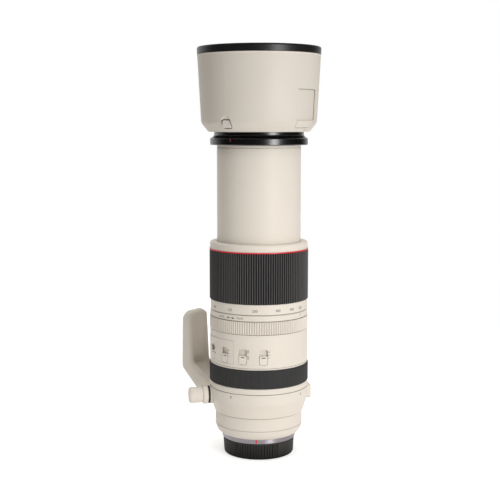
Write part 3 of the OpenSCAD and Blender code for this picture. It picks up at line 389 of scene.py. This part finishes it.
def ribbed_sleeve(node, depth, count, share, soft, wall, steps=12, slope=0.36, edge_steps=6):
    """A closed ring of straight ribs in the place of a CAD node.

    Round the axis, a rib falls from full height to its groove by a smooth step at a share of its half pitch; the
    step takes up the slope's share of it. Along the axis, both outer edges follow a quarter circle, as soft as
    given. The radius is the lower of the two, and the bore closes the section, a wall inside it.
    """
    low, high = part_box(node)
    r_out, r_in, z_low, z_high = high[0], high[0] - wall, low[2], high[2]
    turn = np.arange(count * steps) / (count * steps)
    fall = np.clip((np.abs(turn * count % 1 - 0.5) * 2 - share) / slope + 0.5, 0, 1)
    ribs = r_out - depth * fall * fall * (3 - 2 * fall)
    t = np.linspace(0, math.pi / 2, edge_steps)
    rise, inset = soft * (1 - np.cos(t)), soft * (1 - np.sin(t))
    z = np.concatenate([[z_low], z_low + rise, z_high - rise[::-1], [z_high]])
    limit = np.concatenate([[r_in], r_out - inset, r_out - inset[::-1], [r_in]])
    r = np.minimum(ribs[:, None], limit[None, :])
    angle = 2 * math.pi * turn[:, None]
    points = np.stack([r * np.cos(angle), r * np.sin(angle), np.broadcast_to(z, r.shape)], axis=-1)
    return points.reshape(-1, 3), grid_faces(*r.shape, True, True)


def groove_group():
    """Shade in grooves cut into a ring: 0 at its outer radius and 1 at the bottom of a groove of a set depth."""
    tree, given, out = node_group("groove shade", {"Outer": 50 * MM, "Depth": 1 * MM}, {"Mask": "Float"})
    away = axis_distance(tree)[1]
    below = add(tree, "ShaderNodeMath", {0: given["Outer"], 1: away}, operation="SUBTRACT").outputs[0]
    mask = add(tree, "ShaderNodeMapRange", {"Value": below, "From Max": given["Depth"]})
    tree.links.new(mask.outputs["Result"], out["Mask"])
    return tree


GROOVES = groove_group()


def shade_grooves(material, node, depth, shade, share):
    """Mixes a ribbed ring's colour towards a dark colour, by a share, down in its grooves: painted shade."""
    tree = material.node_tree
    base = tree.nodes["Principled BSDF"].inputs["Base Color"]
    mask = effect(tree, GROOVES, Outer=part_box(node)[1][0], Depth=depth)["Mask"]
    tree.links.new(mixed(tree, product(tree, mask, share), base.links[0].from_socket, shade), base)


focus_ribs = ribbed_sleeve("focus_rubber", depth=0.45 * MM, count=180, share=0.6, soft=0.6 * MM, wall=1.2 * MM)
piece("focus_grip", [focus_ribs], rubber, "focus_ring", replaces=["focus_rubber"])

# Control ring and tension ring: turned and enamelled rings that run on the main barrel. The first is knurled
# with straight grooves. The second is plain, and printed with a double arrow between two words, for how
# tightly it holds the zoom, and with the line that the zoom scale is read against.
# Painted light and shade: this enamel is a lighter copy of the barrels', and its grooves are darkened.
knurled = finish("knurled enamel", (0.84, 0.775, 0.69), (0.82, 0.755, 0.67), (0.7, 0.66, 0.6), (0.2, 0.17, 0.14),
                 rough=(0.42, 0.54), wear=0.35, seam=0.9, grime_and_shade=0.5, Specular_IOR_Level=0.32)
KNURL = 0.9 * MM
shade_grooves(knurled, "control_ring", KNURL, shade=(0.3, 0.26, 0.22), share=0.36)
knurl = ribbed_sleeve("control_ring", depth=KNURL, count=128, share=0.5, soft=0.4 * MM, wall=1.8 * MM, slope=0.8)
piece("control_knurl", [knurl], knurled, "control_ring", replaces=["control_ring"])
dress(enamel, "tension_ring")


def double_arrow(length, head, width, line, blunt):
    """A line with a solid arrow head at each end: columns whose half height is a wedge near the ends, else a line.

    The line is a share of the head's width, and every column is higher by a blunt tip.
    """
    half, neck = length / 2, head * 1.001
    x = np.concatenate([np.linspace(-half, -half + head, 6), np.linspace(-half + neck, half - neck, 9),
                        np.linspace(half - head, half, 6)])
    end = half - np.abs(x)
    reach = np.where(end <= head, width / 2 * end / head, width * line / 2) + blunt
    return flat_mark(x, reach, INK)


tension_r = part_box("tension_ring")[1][0]
TENSION_Z, WORD_SIZE = 137.2 * MM, 2.4 * MM
ARROW_POLAR, LOOSE_POLAR, TIGHT_POLAR = -1, -14.8, 11.2
ZOOM_LINE_POLAR, ZOOM_LINE_Z = 90, 137.7 * MM
arrow = double_arrow(length=9 * MM, head=2.4 * MM, width=1.8 * MM, line=0.2, blunt=0.02 * MM)
piece("tension_marks", [
    wrapped(arrow, tension_r, ARROW_POLAR, TENSION_Z),
    wrapped(lettering("LOOSE", WORD_SIZE), tension_r, LOOSE_POLAR, TENSION_Z),
    wrapped(lettering("TIGHT", WORD_SIZE), tension_r, TIGHT_POLAR, TENSION_Z),
    wrapped(pill(width=0.45 * MM, height=2.6 * MM), tension_r, ZOOM_LINE_POLAR, ZOOM_LINE_Z),
], ink, "tension_ring")

# Zoom ring: an alloy sleeve with the printed scale of focal lengths, under a broad ribbed rubber. A red
# lacquered band and a plain collar with a felt seal close it at the front.
dress(enamel, "zoom_ring", "front_collar")
dress(red_paint, "red_band")
scale_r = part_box("zoom_ring")[1][0]
SCALE = {"500": 90, "400": 75, "300": 56, "200": 29, "135": -2, "100": -31}
SCALE_SIZE, SCALE_Z = 3.5 * MM, 144.4 * MM
figures = [wrapped(lettering(words, SCALE_SIZE), scale_r, polar, SCALE_Z) for words, polar in SCALE.items()]
piece("zoom_scale", figures, ink, "zoom_ring")
deep_rubber = finish("deep ribbed rubber", (0.11, 0.107, 0.105), (0.122, 0.118, 0.116), (0.17, 0.167, 0.164),
                     (0.004, 0.004, 0.004), rough=(0.6, 0.75), grain=3000.0, depth=0.02, edge=0.12, seam=0.8,
                     Specular_IOR_Level=0.3)
# Painted shade: the grip's grooves darken to near black with their depth.
shade_grooves(deep_rubber, "zoom_rubber", 0.7 * MM, shade=(0.003, 0.003, 0.003), share=0.97)
zoom_ribs = ribbed_sleeve("zoom_rubber", depth=1.05 * MM, count=130, share=0.45, soft=0.6 * MM, wall=1.5 * MM,
                          steps=14, slope=0.9)
piece("zoom_grip", [zoom_ribs], deep_rubber, "zoom_ring", replaces=["zoom_rubber"])
felt = finish("black felt", (0.016, 0.016, 0.017), (0.024, 0.024, 0.025), (0.03, 0.03, 0.03), (0.01, 0.01, 0.01),
              rough=(0.9, 1.0), grain=1400.0, depth=0.15, Specular_IOR_Level=0.1)
dress(felt, "dust_seal")

# Tripod collar: a die-cast ring with a conical skirt that turns on the rear barrel, and a knob whose stud clamps
# it. Its foot is a casting with a hollowed arm, and a steel socket in it takes the tripod. Short printed lines
# mark the quarter turns.
dress(enamel, "tripod_collar", "lock_knob")
dress(rubber, "knob_washer")
collar_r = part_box("index_ring")[1][0] + 0.1 * MM
COLLAR_LINE_Z, QUARTERS = 62.4 * MM, (0, 90, 180)
collar_line = pill(width=0.8 * MM, height=2.7 * MM)
collar_lines = [wrapped(collar_line, collar_r, polar, COLLAR_LINE_Z) for polar in QUARTERS]
piece("collar_lines", collar_lines, ink, "tripod_collar")


def skirt(low, high, wall, columns=240):
    """A cone's shell round the axis between two ends, given as radius and height; its wall is halved at the low end."""
    turn = 2 * math.pi * np.arange(columns) / columns
    ends = np.array([low, high, (high[0] - wall, high[1]), (low[0] - wall / 2, low[1])])
    points = np.stack([ends[:, :1] * np.cos(turn), ends[:, :1] * np.sin(turn), ends[:, 1:] + 0 * turn], axis=-1)
    return points.reshape(-1, 3), grid_faces(4, columns, True, True)


collar_skirt = skirt(low=(42.5 * MM, 42.2 * MM), high=(46.0 * MM, 53.1 * MM), wall=1.2 * MM)
piece("collar_skirt", [collar_skirt], enamel, "tripod_collar")


def thread(radius, pitch, depth, z_low, z_high, columns, rows=8, wall=0.1 * MM):
    """An inner screw thread: the bore's radius less a triangle wave of height over pitch minus turns.

    The wave repeats once a turn, so the helix closes on itself; rows counts its points along one pitch. A plain
    wall just behind the bore closes the ring.
    """
    turn = np.arange(columns)[:, None] / columns
    z = np.linspace(z_low, z_high, 1 + round(rows * (z_high - z_low) / pitch))
    wave = np.abs((z[None, :] / pitch - turn) % 1 - 0.5) * 2
    back = np.full((columns, 2), radius + wall)
    r = np.concatenate([radius - depth * wave, back], axis=1)
    z = np.broadcast_to(np.concatenate([z, [z_high, z_low]]), r.shape)
    points = np.stack([r * np.cos(2 * math.pi * turn), r * np.sin(2 * math.pi * turn), z], axis=-1)
    return points.reshape(-1, 3), grid_faces(*r.shape, True, True)


def bent(a, b, c, steps):
    """A quadratic curve from a to c, drawn towards b."""
    t = np.linspace(0, 1, steps)[:, None]
    return (1 - t) ** 2 * np.array(a) + 2 * t * (1 - t) * np.array(b) + t ** 2 * np.array(c)


FOOT_TOP, FOOT_HALF, FOOT_NARROW, NARROW_FROM = 131.2, 15.9, 1.3, 78
FOOT_CORNER, FOOT_ROUND, FOOT_ROOT = 4.5, 8.0, 42.6
ARM_STEPS, PLATE_STEPS, END_STEPS, END_TURN = 16, 36, 14, 87
FOOT_OUTER = [((FOOT_ROOT, 46.3), (57, 46.3), ARM_STEPS), ((65.6, 55.6), (73.2, 63.7), 8),
              ((80.8, 71.8), (83, 74.1), 9), ((83, 78.5), (83, 100), PLATE_STEPS)]
FOOT_INNER = [((FOOT_ROOT, 65), (48.6, 65), 8), ((48.8, 65.2), (49.2, 65.8), ARM_STEPS - 7),
              ((50.4, 66.6), (58, 71.8), 8), ((65.4, 77), (68.4, 79.2), 9), ((68.7, 82.5), (69.6, 104), PLATE_STEPS)]
OUTER_END, OUTER_TIP, INNER_END, INNER_TIP = (83, 121.5), 76.9, (70.4, 125.2), 76.5
HOLLOW = {11: 0, 18: 7.5, 26: 7, 34: 4, 46: 2, 60: 1.2, 68: 0}
CORNER_STEPS, FLAT_STEPS = 12, 24


def foot_line(spans, last, tip):
    """One line of the foot's side view in mm, as distance from the axis and height.

    Each span is its start, the point that it bends towards and its number of points. From the last point, a quarter
    ellipse closes in on the tip's distance at the foot's top.
    """
    starts = [span[0] for span in spans] + [last]
    parts = [bent(start, pull, stop, steps)[1:] for (start, pull, steps), stop in zip(spans, starts[1:])]
    turn = np.radians(np.linspace(0, END_TURN, END_STEPS))[1:, None]
    way = np.concatenate([np.cos(turn), np.sin(turn)], axis=1)
    end = np.array([tip, last[1]]) + way * np.array([last[0] - tip, FOOT_TOP - last[1]])
    return np.concatenate([[starts[0]], *parts, end])


def foot_casting():
    """The foot: rounded sections carried along its outer and inner line, closed by strips at both ends.

    Both lines leave the collar, follow the slanted arm, bend into the plate along the barrel and meet at its end.
    A section spans from one to the other; its corners are quarter circles. Its half width shrinks a little towards
    the end of the plate and there follows a quarter circle. The inner side is hollowed between two rims, by a depth
    times one minus the fourth power of the way from the middle: deep at the arm, a shallow dish along the plate.
    The root is bent to the collar's round form.
    """
    outer, inner = foot_line(FOOT_OUTER, OUTER_END, OUTER_TIP), foot_line(FOOT_INNER, INNER_END, INNER_TIP)
    count = len(outer)
    middle, across = (outer + inner) / 2, (outer - inner) / 2
    half = np.linalg.norm(across, axis=1)
    lift = np.clip((middle[:, 1] - NARROW_FROM) / (FOOT_TOP - NARROW_FROM), 0, 1)
    end = np.clip(middle[:, 1] - (FOOT_TOP - FOOT_ROUND), 0, FOOT_ROUND)
    width = FOOT_HALF - FOOT_NARROW * lift - FOOT_ROUND + np.sqrt(FOOT_ROUND ** 2 - end ** 2)
    corner = np.minimum(FOOT_CORNER, 0.98 * np.minimum(half, width))
    hollow = np.interp(np.arange(count), list(HOLLOW), list(HOLLOW.values()))

    arc = (np.arange(CORNER_STEPS) + 0.5) * math.pi / (2 * CORNER_STEPS)
    flat = np.linspace(1, -1, FLAT_STEPS)[1:-1]
    side = np.concatenate([np.ones(CORNER_STEPS), flat, -np.ones(CORNER_STEPS)])
    ease_x = np.concatenate([np.cos(arc), 0 * flat, -np.cos(arc[::-1])])
    ease_y = np.concatenate([np.sin(arc), 0 * flat + 1, np.sin(arc[::-1])])
    dish = np.concatenate([0 * side, 1 - side[::-1] ** 4])
    face = np.concatenate([0 * side + 1, 0 * side - 1])
    side, ease_x = np.concatenate([side, side[::-1]]), np.concatenate([ease_x, ease_x[::-1]])
    ease_y = np.concatenate([ease_y, -ease_y[::-1]])

    x = side * (width - corner)[:, None] + ease_x * corner[:, None]
    reach = (face * (half - corner)[:, None] + ease_y * corner[:, None] + dish * hollow[:, None]) / half[:, None]
    away, z = (middle[:, i, None] + reach * across[:, i, None] for i in (0, 1))
    root = np.clip(1 - np.arange(count) / (ARM_STEPS - 1), 0, 1)[:, None]
    away = away - root * (FOOT_ROOT - np.sqrt(FOOT_ROOT ** 2 - x ** 2))
    points = np.stack([x, -away, z], axis=-1).reshape(-1, 3) * MM

    around = len(side)
    j = np.arange(around // 2 - 1)
    strip = np.stack([j, j + 1, around - 2 - j, around - 1 - j], axis=-1)
    ends = [strip, strip[:, ::-1] + around * (count - 1)]
    return points, np.concatenate([grid_faces(count, around, False, True), *ends])


def cut(name, points, faces):
    """Takes a closed form out of a finished piece."""
    mesh = bpy.data.meshes.new("cutter")
    mesh.from_pydata(points.tolist(), [], faces)
    cutter = bpy.data.objects.new("cutter", mesh)
    bpy.context.scene.collection.objects.link(cutter)
    made = bpy.data.objects[name]
    hole = made.modifiers.new("hole", "BOOLEAN")
    hole.operation, hole.object, hole.solver = "DIFFERENCE", cutter, "EXACT"
    whole, solid = made.data, made.evaluated_get(bpy.context.evaluated_depsgraph_get())
    made.data = bpy.data.meshes.new_from_object(solid)
    made.modifiers.clear()
    bpy.data.objects.remove(cutter)
    bpy.data.meshes.remove(mesh)
    bpy.data.meshes.remove(whole)


piece("foot_casting", [foot_casting()], enamel, "tripod_collar", replaces=["tripod_foot"])
socket_low, socket_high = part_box("tripod_socket")
socket_place = np.array([0, socket_low[1], (socket_low[2] + socket_high[2]) / 2])
HOLE_SIDES, HOLE_ROOM, HOLE_PAST = 64, 0.1 * MM, 1 * MM
hole_r = (socket_high[2] - socket_low[2]) / 2 + HOLE_ROOM
turn = 2 * math.pi * np.arange(HOLE_SIDES) / HOLE_SIDES
hole_x, hole_z = hole_r * np.cos(turn), socket_place[2] + hole_r * np.sin(turn)
hole_rings = [np.stack([hole_x, np.full(HOLE_SIDES, y), hole_z], axis=-1)
              for y in (socket_low[1] - HOLE_PAST, socket_high[1] + HOLE_ROOM)]
hole_ends = [list(range(HOLE_SIDES)), list(range(2 * HOLE_SIDES - 1, HOLE_SIDES - 1, -1))]
cut("foot_casting", np.concatenate(hole_rings), grid_faces(2, HOLE_SIDES, False, True).tolist() + hole_ends)
socket_points, socket_faces = thread(radius=3.175 * MM, pitch=1.27 * MM, depth=0.5 * MM, z_low=0.4 * MM,
                                     z_high=8.9 * MM, columns=96)
piece("tripod_thread", [(socket_points[:, [0, 2, 1]] + socket_place, socket_faces)], small_steel, "tripod_collar",
      crease=20)

# Extension tube: a thin-walled alloy tube, turned and enamelled like the barrels, that carries the front ring.
# The rollers fixed to its rear end push it out of the zoom ring through the felt seal.
dress(enamel, "extension_tube")

# Front ring: turned alloy, anodised black and satin, with the hood's bayonet outside and the filter thread
# inside. A red mark shows where the hood goes on; behind it a cell and a retainer hold the front glasses.
black_satin = finish("satin black anodising", (0.0022, 0.002, 0.0019), (0.003, 0.0028, 0.0026),
                     (0.04, 0.038, 0.036), (0.015, 0.014, 0.013), rough=(0.22, 0.3), grain=5000.0, depth=0.003,
                     lathe=True, wear=0.25, Specular_IOR_Level=1.0)
dress(black_satin, "front_ring", "front_cell", "front_retainer")
filter_thread = thread(radius=38.1 * MM, pitch=0.75 * MM, depth=0.4 * MM, z_low=306.2 * MM, z_high=311.3 * MM,
                       columns=240)
piece("filter_thread", [filter_thread], black_satin, "front_barrel", crease=20)
flange_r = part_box("front_ring")[1][0]
# Painted shade: the front mark's red is a darker copy of the red enamel.
shaded_red = finish("red darkened as painted shade", (0.3, 0.022, 0.03), (0.27, 0.02, 0.027), (0.4, 0.1, 0.1), (0.1, 0.015, 0.015),
                  rough=(0.4, 0.5), edge=0.05)
FRONT_INDEX_POLAR, FRONT_INDEX_Z = -1, 300 * MM
front_mark = pill(width=1.1 * MM, height=2.6 * MM)
piece("front_index", [wrapped(front_mark, flange_r, FRONT_INDEX_POLAR, FRONT_INDEX_Z)], shaded_red, "front_barrel")

# Hood: moulded, sprayed like the barrel and lined with black flock, with a soft black rim pressed on over a thin
# pale bead, whose paleness is a painted highlight. A door slides up its wall to reach a filter, and a button lets
# the bayonet turn; a dark frame round the button is a painted shadow in its gap.
hood_paint = finish("hood paint", (0.725, 0.668, 0.59), (0.705, 0.645, 0.566), (0.6, 0.56, 0.5), (0.2, 0.17, 0.14),
                    rough=(0.45, 0.58), grain=1600.0, depth=0.02, wear=0.35, seam=1.0, Specular_IOR_Level=0.35)
dress(hood_paint, "hood_shell", "hood_door")
dress(switch_plastic, "hood_button")
dress(felt, "hood_lining")
HOOD_BASE_R, HOOD_LOW_R, HOOD_TOP_R = 47.5 * MM, 54.2 * MM, 57.6 * MM
HOOD_Z, SHOULDER_Z, HOOD_TOP_Z = 307.4 * MM, 315.9 * MM, 378.5 * MM


def flock_inside(material, depth, flock, blur=0.1 * MM):
    """Flock on the hood's inner faces: its paint turns to flock where a point lies deeper than a depth.

    The depth is the outer form's radius at the point's height, a cone up to the shoulder and a flare above it,
    less the point's distance to the axis.
    """
    tree = material.node_tree
    parts, away = axis_distance(tree)
    cone = add(tree, "ShaderNodeMapRange", {"Value": parts["Z"], "From Min": HOOD_Z, "From Max": SHOULDER_Z,
                                            "To Min": HOOD_BASE_R, "To Max": HOOD_LOW_R}).outputs["Result"]
    flare = add(tree, "ShaderNodeMapRange", {"Value": parts["Z"], "From Min": SHOULDER_Z, "From Max": HOOD_TOP_Z,
                                             "To Max": HOOD_TOP_R - HOOD_LOW_R}).outputs["Result"]
    outer = add(tree, "ShaderNodeMath", {0: cone, 1: flare}, operation="ADD").outputs[0]
    below = add(tree, "ShaderNodeMath", {0: outer, 1: away}, operation="SUBTRACT").outputs[0]
    inside = add(tree, "ShaderNodeMapRange", {"Value": below, "From Min": depth - blur,
                                              "From Max": depth + blur}).outputs["Result"]
    base = tree.nodes["Principled BSDF"].inputs["Base Color"]
    tree.links.new(mixed(tree, inside, base.links[0].from_socket, flock), base)


flock_inside(hood_paint, depth=1.9 * MM, flock=(0.016, 0.016, 0.017))
rim_rubber = finish("soft rim", (0.0085, 0.008, 0.0075), (0.012, 0.0115, 0.011), (0.05, 0.048, 0.046),
                    (0.03, 0.028, 0.026), rough=(0.32, 0.42), grain=2200.0, depth=0.015, Specular_IOR_Level=0.5)
dress(rim_rubber, "hood_rim")
CONE = (HOOD_LOW_R - HOOD_BASE_R) / (SHOULDER_Z - HOOD_Z)
HOOD_INDEX_POLAR, HOOD_INDEX_UP = 91, 1.6 * MM
hood_mark = wrapped(pill(width=1.1 * MM, height=1.7 * MM), HOOD_BASE_R + HOOD_INDEX_UP * CONE, HOOD_INDEX_POLAR,
                    HOOD_Z + HOOD_INDEX_UP, lean=CONE)
piece("hood_index", [hood_mark], red_paint, "hood")


BUTTON_CORNER, BUTTON_GAP, OUTLINE_STEPS, GAP_SHADOW_STEPS = 1.6 * MM, 0.05 * MM, 48, 96
SCOOP_R, SCOOP_OUT, SCOOP_UP = 13 * MM, 12.5 * MM, 1 * MM
SHOULDER_CUT, SHOULDER_REACH = 0.45 * MM, 2.4 * MM


def button_seal(width, depth, proud):
    """A soft dark frame set in the hood round its button, a painted shadow in the gap round it.

    Its path is the button's rounded outline, in even steps, and its section a strip from just outside the button,
    as wide and deep as given. Its front follows the hood's cone, eased at the shoulder by a parabola and cut by the
    thumb scoop's sphere, and stands a little proud of it.
    """
    low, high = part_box("hood_button")
    half = np.array([high[1] - low[1], high[2] - low[2]]) / 2
    middle = (low[2] + high[2]) / 2
    step = np.arange(OUTLINE_STEPS + 1)
    t = (step + 0.5) * 2 * math.pi / OUTLINE_STEPS
    way = np.stack([np.cos(t), np.sin(t)], axis=-1)
    corner = BUTTON_CORNER
    edges = [np.sign(way) * (half - corner) + way * (corner + out) for out in (BUTTON_GAP, width)]
    run = np.concatenate([[0], np.cumsum(np.linalg.norm(np.diff(edges[0], axis=0), axis=1))])
    even = np.interp(np.arange(GAP_SHADOW_STEPS) / GAP_SHADOW_STEPS * run[-1], run, step)
    inner, outer = (np.stack([np.interp(even, step, edge[:, i]) for i in (0, 1)], axis=-1) for edge in edges)
    sphere = np.array([high[0] + SCOOP_OUT, middle + SCOOP_UP])

    def front(path):
        y, z = path[:, 0], path[:, 1] + middle
        cone = HOOD_BASE_R + (np.minimum(z, SHOULDER_Z) - HOOD_Z) * CONE
        eased = cone - SHOULDER_CUT * np.clip(1 - np.abs(z - SHOULDER_Z) / SHOULDER_REACH, 0, 1) ** 2
        scoop = sphere[0] - np.sqrt(SCOOP_R ** 2 - y ** 2 - (z - sphere[1]) ** 2)
        return np.minimum(np.sqrt(eased ** 2 - y ** 2), scoop) + proud

    rows = [(inner, front(inner) - depth), (outer, front(outer) - depth), (outer, front(outer)),
            (inner, front(inner))]
    points = np.stack([np.stack([x, path[:, 0], path[:, 1] + middle], axis=-1) for path, x in rows], axis=1)
    return points.reshape(-1, 3), grid_faces(len(even), 4, True, True)


def bead(radius, proud, height, middle, columns=240, steps=9):
    """A bead round the hood: half an ellipse, proud of the wall, carried round the axis and closed inside it."""
    t = np.linspace(-math.pi / 2, math.pi / 2, steps)
    r = np.concatenate([radius + proud * np.cos(t), [radius - height / 2, radius - height / 2]])
    z = middle + height / 2 * np.concatenate([np.sin(t), [1, -1]])
    turn = 2 * math.pi * np.arange(columns)[:, None] / columns
    points = np.stack([r * np.cos(turn), r * np.sin(turn), np.broadcast_to(z, (columns, len(z)))], axis=-1)
    return points.reshape(-1, 3), grid_faces(columns, len(z), True, True)


BEAD_SUNK, BEAD_BELOW = 0.1 * MM, 0.9 * MM
# Painted highlight: the bead under the rim is in the paler switch plastic, a light line round the hood's top.
hood_bead = bead(HOOD_TOP_R - BEAD_SUNK, proud=0.35 * MM, height=1.5 * MM, middle=HOOD_TOP_Z - BEAD_BELOW)
piece("hood_bead", [hood_bead], switch_plastic, "hood")
# Painted shadow: a dark frame in the gap round the hood's button.
seal = button_seal(width=0.8 * MM, depth=1.5 * MM, proud=0.05 * MM)
piece("button_seal", [seal], rim_rubber, "hood")

# Rear cap: one moulding in black plastic, ribbed for the fingers, with three smooth pads between the ribs.
# It is twisted on over the mount's bayonet lugs, and little light reaches the bottom of its grooves.
cap_plastic = finish("cap plastic", (0.038, 0.037, 0.0355), (0.045, 0.0435, 0.0415), (0.07, 0.067, 0.062),
                     (0.008, 0.0078, 0.0075), rough=(0.5, 0.66), grain=1800.0, depth=0.02, seam=0.8,
                     Specular_IOR_Level=0.12)
shade_grooves(cap_plastic, "rear_cap", 1.1 * MM, shade=(0.004, 0.004, 0.004), share=0.95)
dress(cap_plastic, "rear_cap")

# Studio: a white floor that keeps a soft shadow and glows a little where it is seen, white walls as fill, and a
# tall soft box to the right of the camera. The black and the bright metal rings mirror a dim room behind it.
scene = bpy.context.scene
scene.view_settings.view_transform = "Standard"
VIEW_AZIMUTH = math.radians(124)
TOWARDS_CAMERA = np.array([math.sin(VIEW_AZIMUTH), -math.cos(VIEW_AZIMUTH), 0])
TO_RIGHT = np.array([math.cos(VIEW_AZIMUTH), math.sin(VIEW_AZIMUTH), 0])
UP = np.array([0, 0, 1])
SIDES, OVERHEAD, ROOM = 0.12, 1.6, 0.01
ROOM_SIDE = tuple(0.98 * TOWARDS_CAMERA + 0.2 * TO_RIGHT)


def larger(tree, a, b):
    """The larger of two values."""
    return add(tree, "ShaderNodeMath", {0: a, 1: b}, operation="MAXIMUM").outputs[0]


world = bpy.data.worlds.new("white studio")
scene.world = world
world.use_nodes = True
sky = world.node_tree
path = add(sky, "ShaderNodeLightPath").outputs
way = add(sky, "ShaderNodeTexCoord").outputs["Generated"]
up = add(sky, "ShaderNodeSeparateXYZ", {"Vector": way}).outputs["Z"]
ambient = add(sky, "ShaderNodeMapRange", {"Value": up, "From Min": 0.35, "From Max": 1.0, "To Min": SIDES,
                                          "To Max": OVERHEAD}).outputs["Result"]
plain = larger(sky, ambient, larger(sky, path["Is Camera Ray"], path["Is Transmission Ray"]))
towards = add(sky, "ShaderNodeVectorMath", {0: way, 1: ROOM_SIDE}, operation="DOT_PRODUCT").outputs["Value"]
walls = add(sky, "ShaderNodeMapRange", {"Value": towards, "From Min": -0.95, "From Max": -0.25, "To Min": 1.0,
                                        "To Max": ROOM}, interpolation_type="SMOOTHSTEP").outputs["Result"]
strength = add(sky, "ShaderNodeMix", {"Factor": path["Is Glossy Ray"], 2: plain, 3: walls}, data_type="FLOAT")
sky.links.new(strength.outputs[0], sky.nodes["Background"].inputs["Strength"])
sky.nodes["Background"].inputs["Color"].default_value = (1, 1, 1, 1)

FLOOR = 0.7
UNSEEN_GLOW, SEEN_GLOW = 0.12, 0.5
floor_mesh = bpy.data.meshes.new("floor")
floor_corners = [(-FLOOR, -FLOOR, 0), (FLOOR, -FLOOR, 0), (FLOOR, FLOOR, 0), (-FLOOR, FLOOR, 0)]
floor_mesh.from_pydata(floor_corners, [], [(0, 1, 2, 3)])
floor = bpy.data.objects.new("floor", floor_mesh)
scene.collection.objects.link(floor)
floor_paint = bpy.data.materials.new("white floor")
floor_paint.use_nodes = True
tree = floor_paint.node_tree
tree.nodes.remove(tree.nodes["Principled BSDF"])
path = add(tree, "ShaderNodeLightPath").outputs
seen = larger(tree, larger(tree, path["Is Camera Ray"], path["Is Glossy Ray"]), path["Is Transmission Ray"])
matt = add(tree, "ShaderNodeBsdfDiffuse", {"Color": (0.85, 0.835, 0.815, 1)})
shine = scaled(tree, seen, UNSEEN_GLOW, SEEN_GLOW)
glow = add(tree, "ShaderNodeEmission", {"Color": (1, 1, 1, 1), "Strength": shine})
both = add(tree, "ShaderNodeAddShader", {0: matt.outputs[0], 1: glow.outputs[0]})
tree.links.new(both.outputs[0], tree.nodes["Material Output"].inputs["Surface"])
floor_mesh.materials.append(floor_paint)


def softbox(name, turn, rise, aim, distance, width, height, power):
    """An area lamp, turned right of the camera and raised by degrees, aimed at a height on the optical axis."""
    lamp = bpy.data.lights.new(name, "AREA")
    lamp.shape = "RECTANGLE"
    lamp.size, lamp.size_y, lamp.energy = width, height, power
    t, r = math.radians(turn), math.radians(rise)
    away = math.cos(r) * (math.cos(t) * TOWARDS_CAMERA + math.sin(t) * TO_RIGHT) + math.sin(r) * UP
    box = bpy.data.objects.new(name, lamp)
    box.location = distance * away + aim * UP
    box.rotation_mode = "QUATERNION"
    box.rotation_quaternion = Vector(away).to_track_quat("Z", "Y")
    scene.collection.objects.link(box)


softbox("key", turn=35, rise=5, aim=0.15, distance=1.7, width=0.5, height=1.2, power=16.4)

SENSOR, FOCAL_PIXELS, FRAME_PIXELS = 36, 1046.08, 500
CAMERA_AWAY, CAMERA_RIGHT, CAMERA_UP, CAMERA_TILT = 0.98864, -0.00843, 0.3142, 6.8413
camera = bpy.data.objects.new("camera", bpy.data.cameras.new("camera"))
camera.data.sensor_width = SENSOR
camera.data.lens = SENSOR * FOCAL_PIXELS / FRAME_PIXELS
camera.data.clip_end = 50
camera.location = CAMERA_AWAY * TOWARDS_CAMERA + CAMERA_RIGHT * TO_RIGHT + CAMERA_UP * UP
camera.rotation_euler = (math.radians(90 - CAMERA_TILT), 0, VIEW_AZIMUTH)
scene.collection.objects.link(camera)
scene.camera = camera
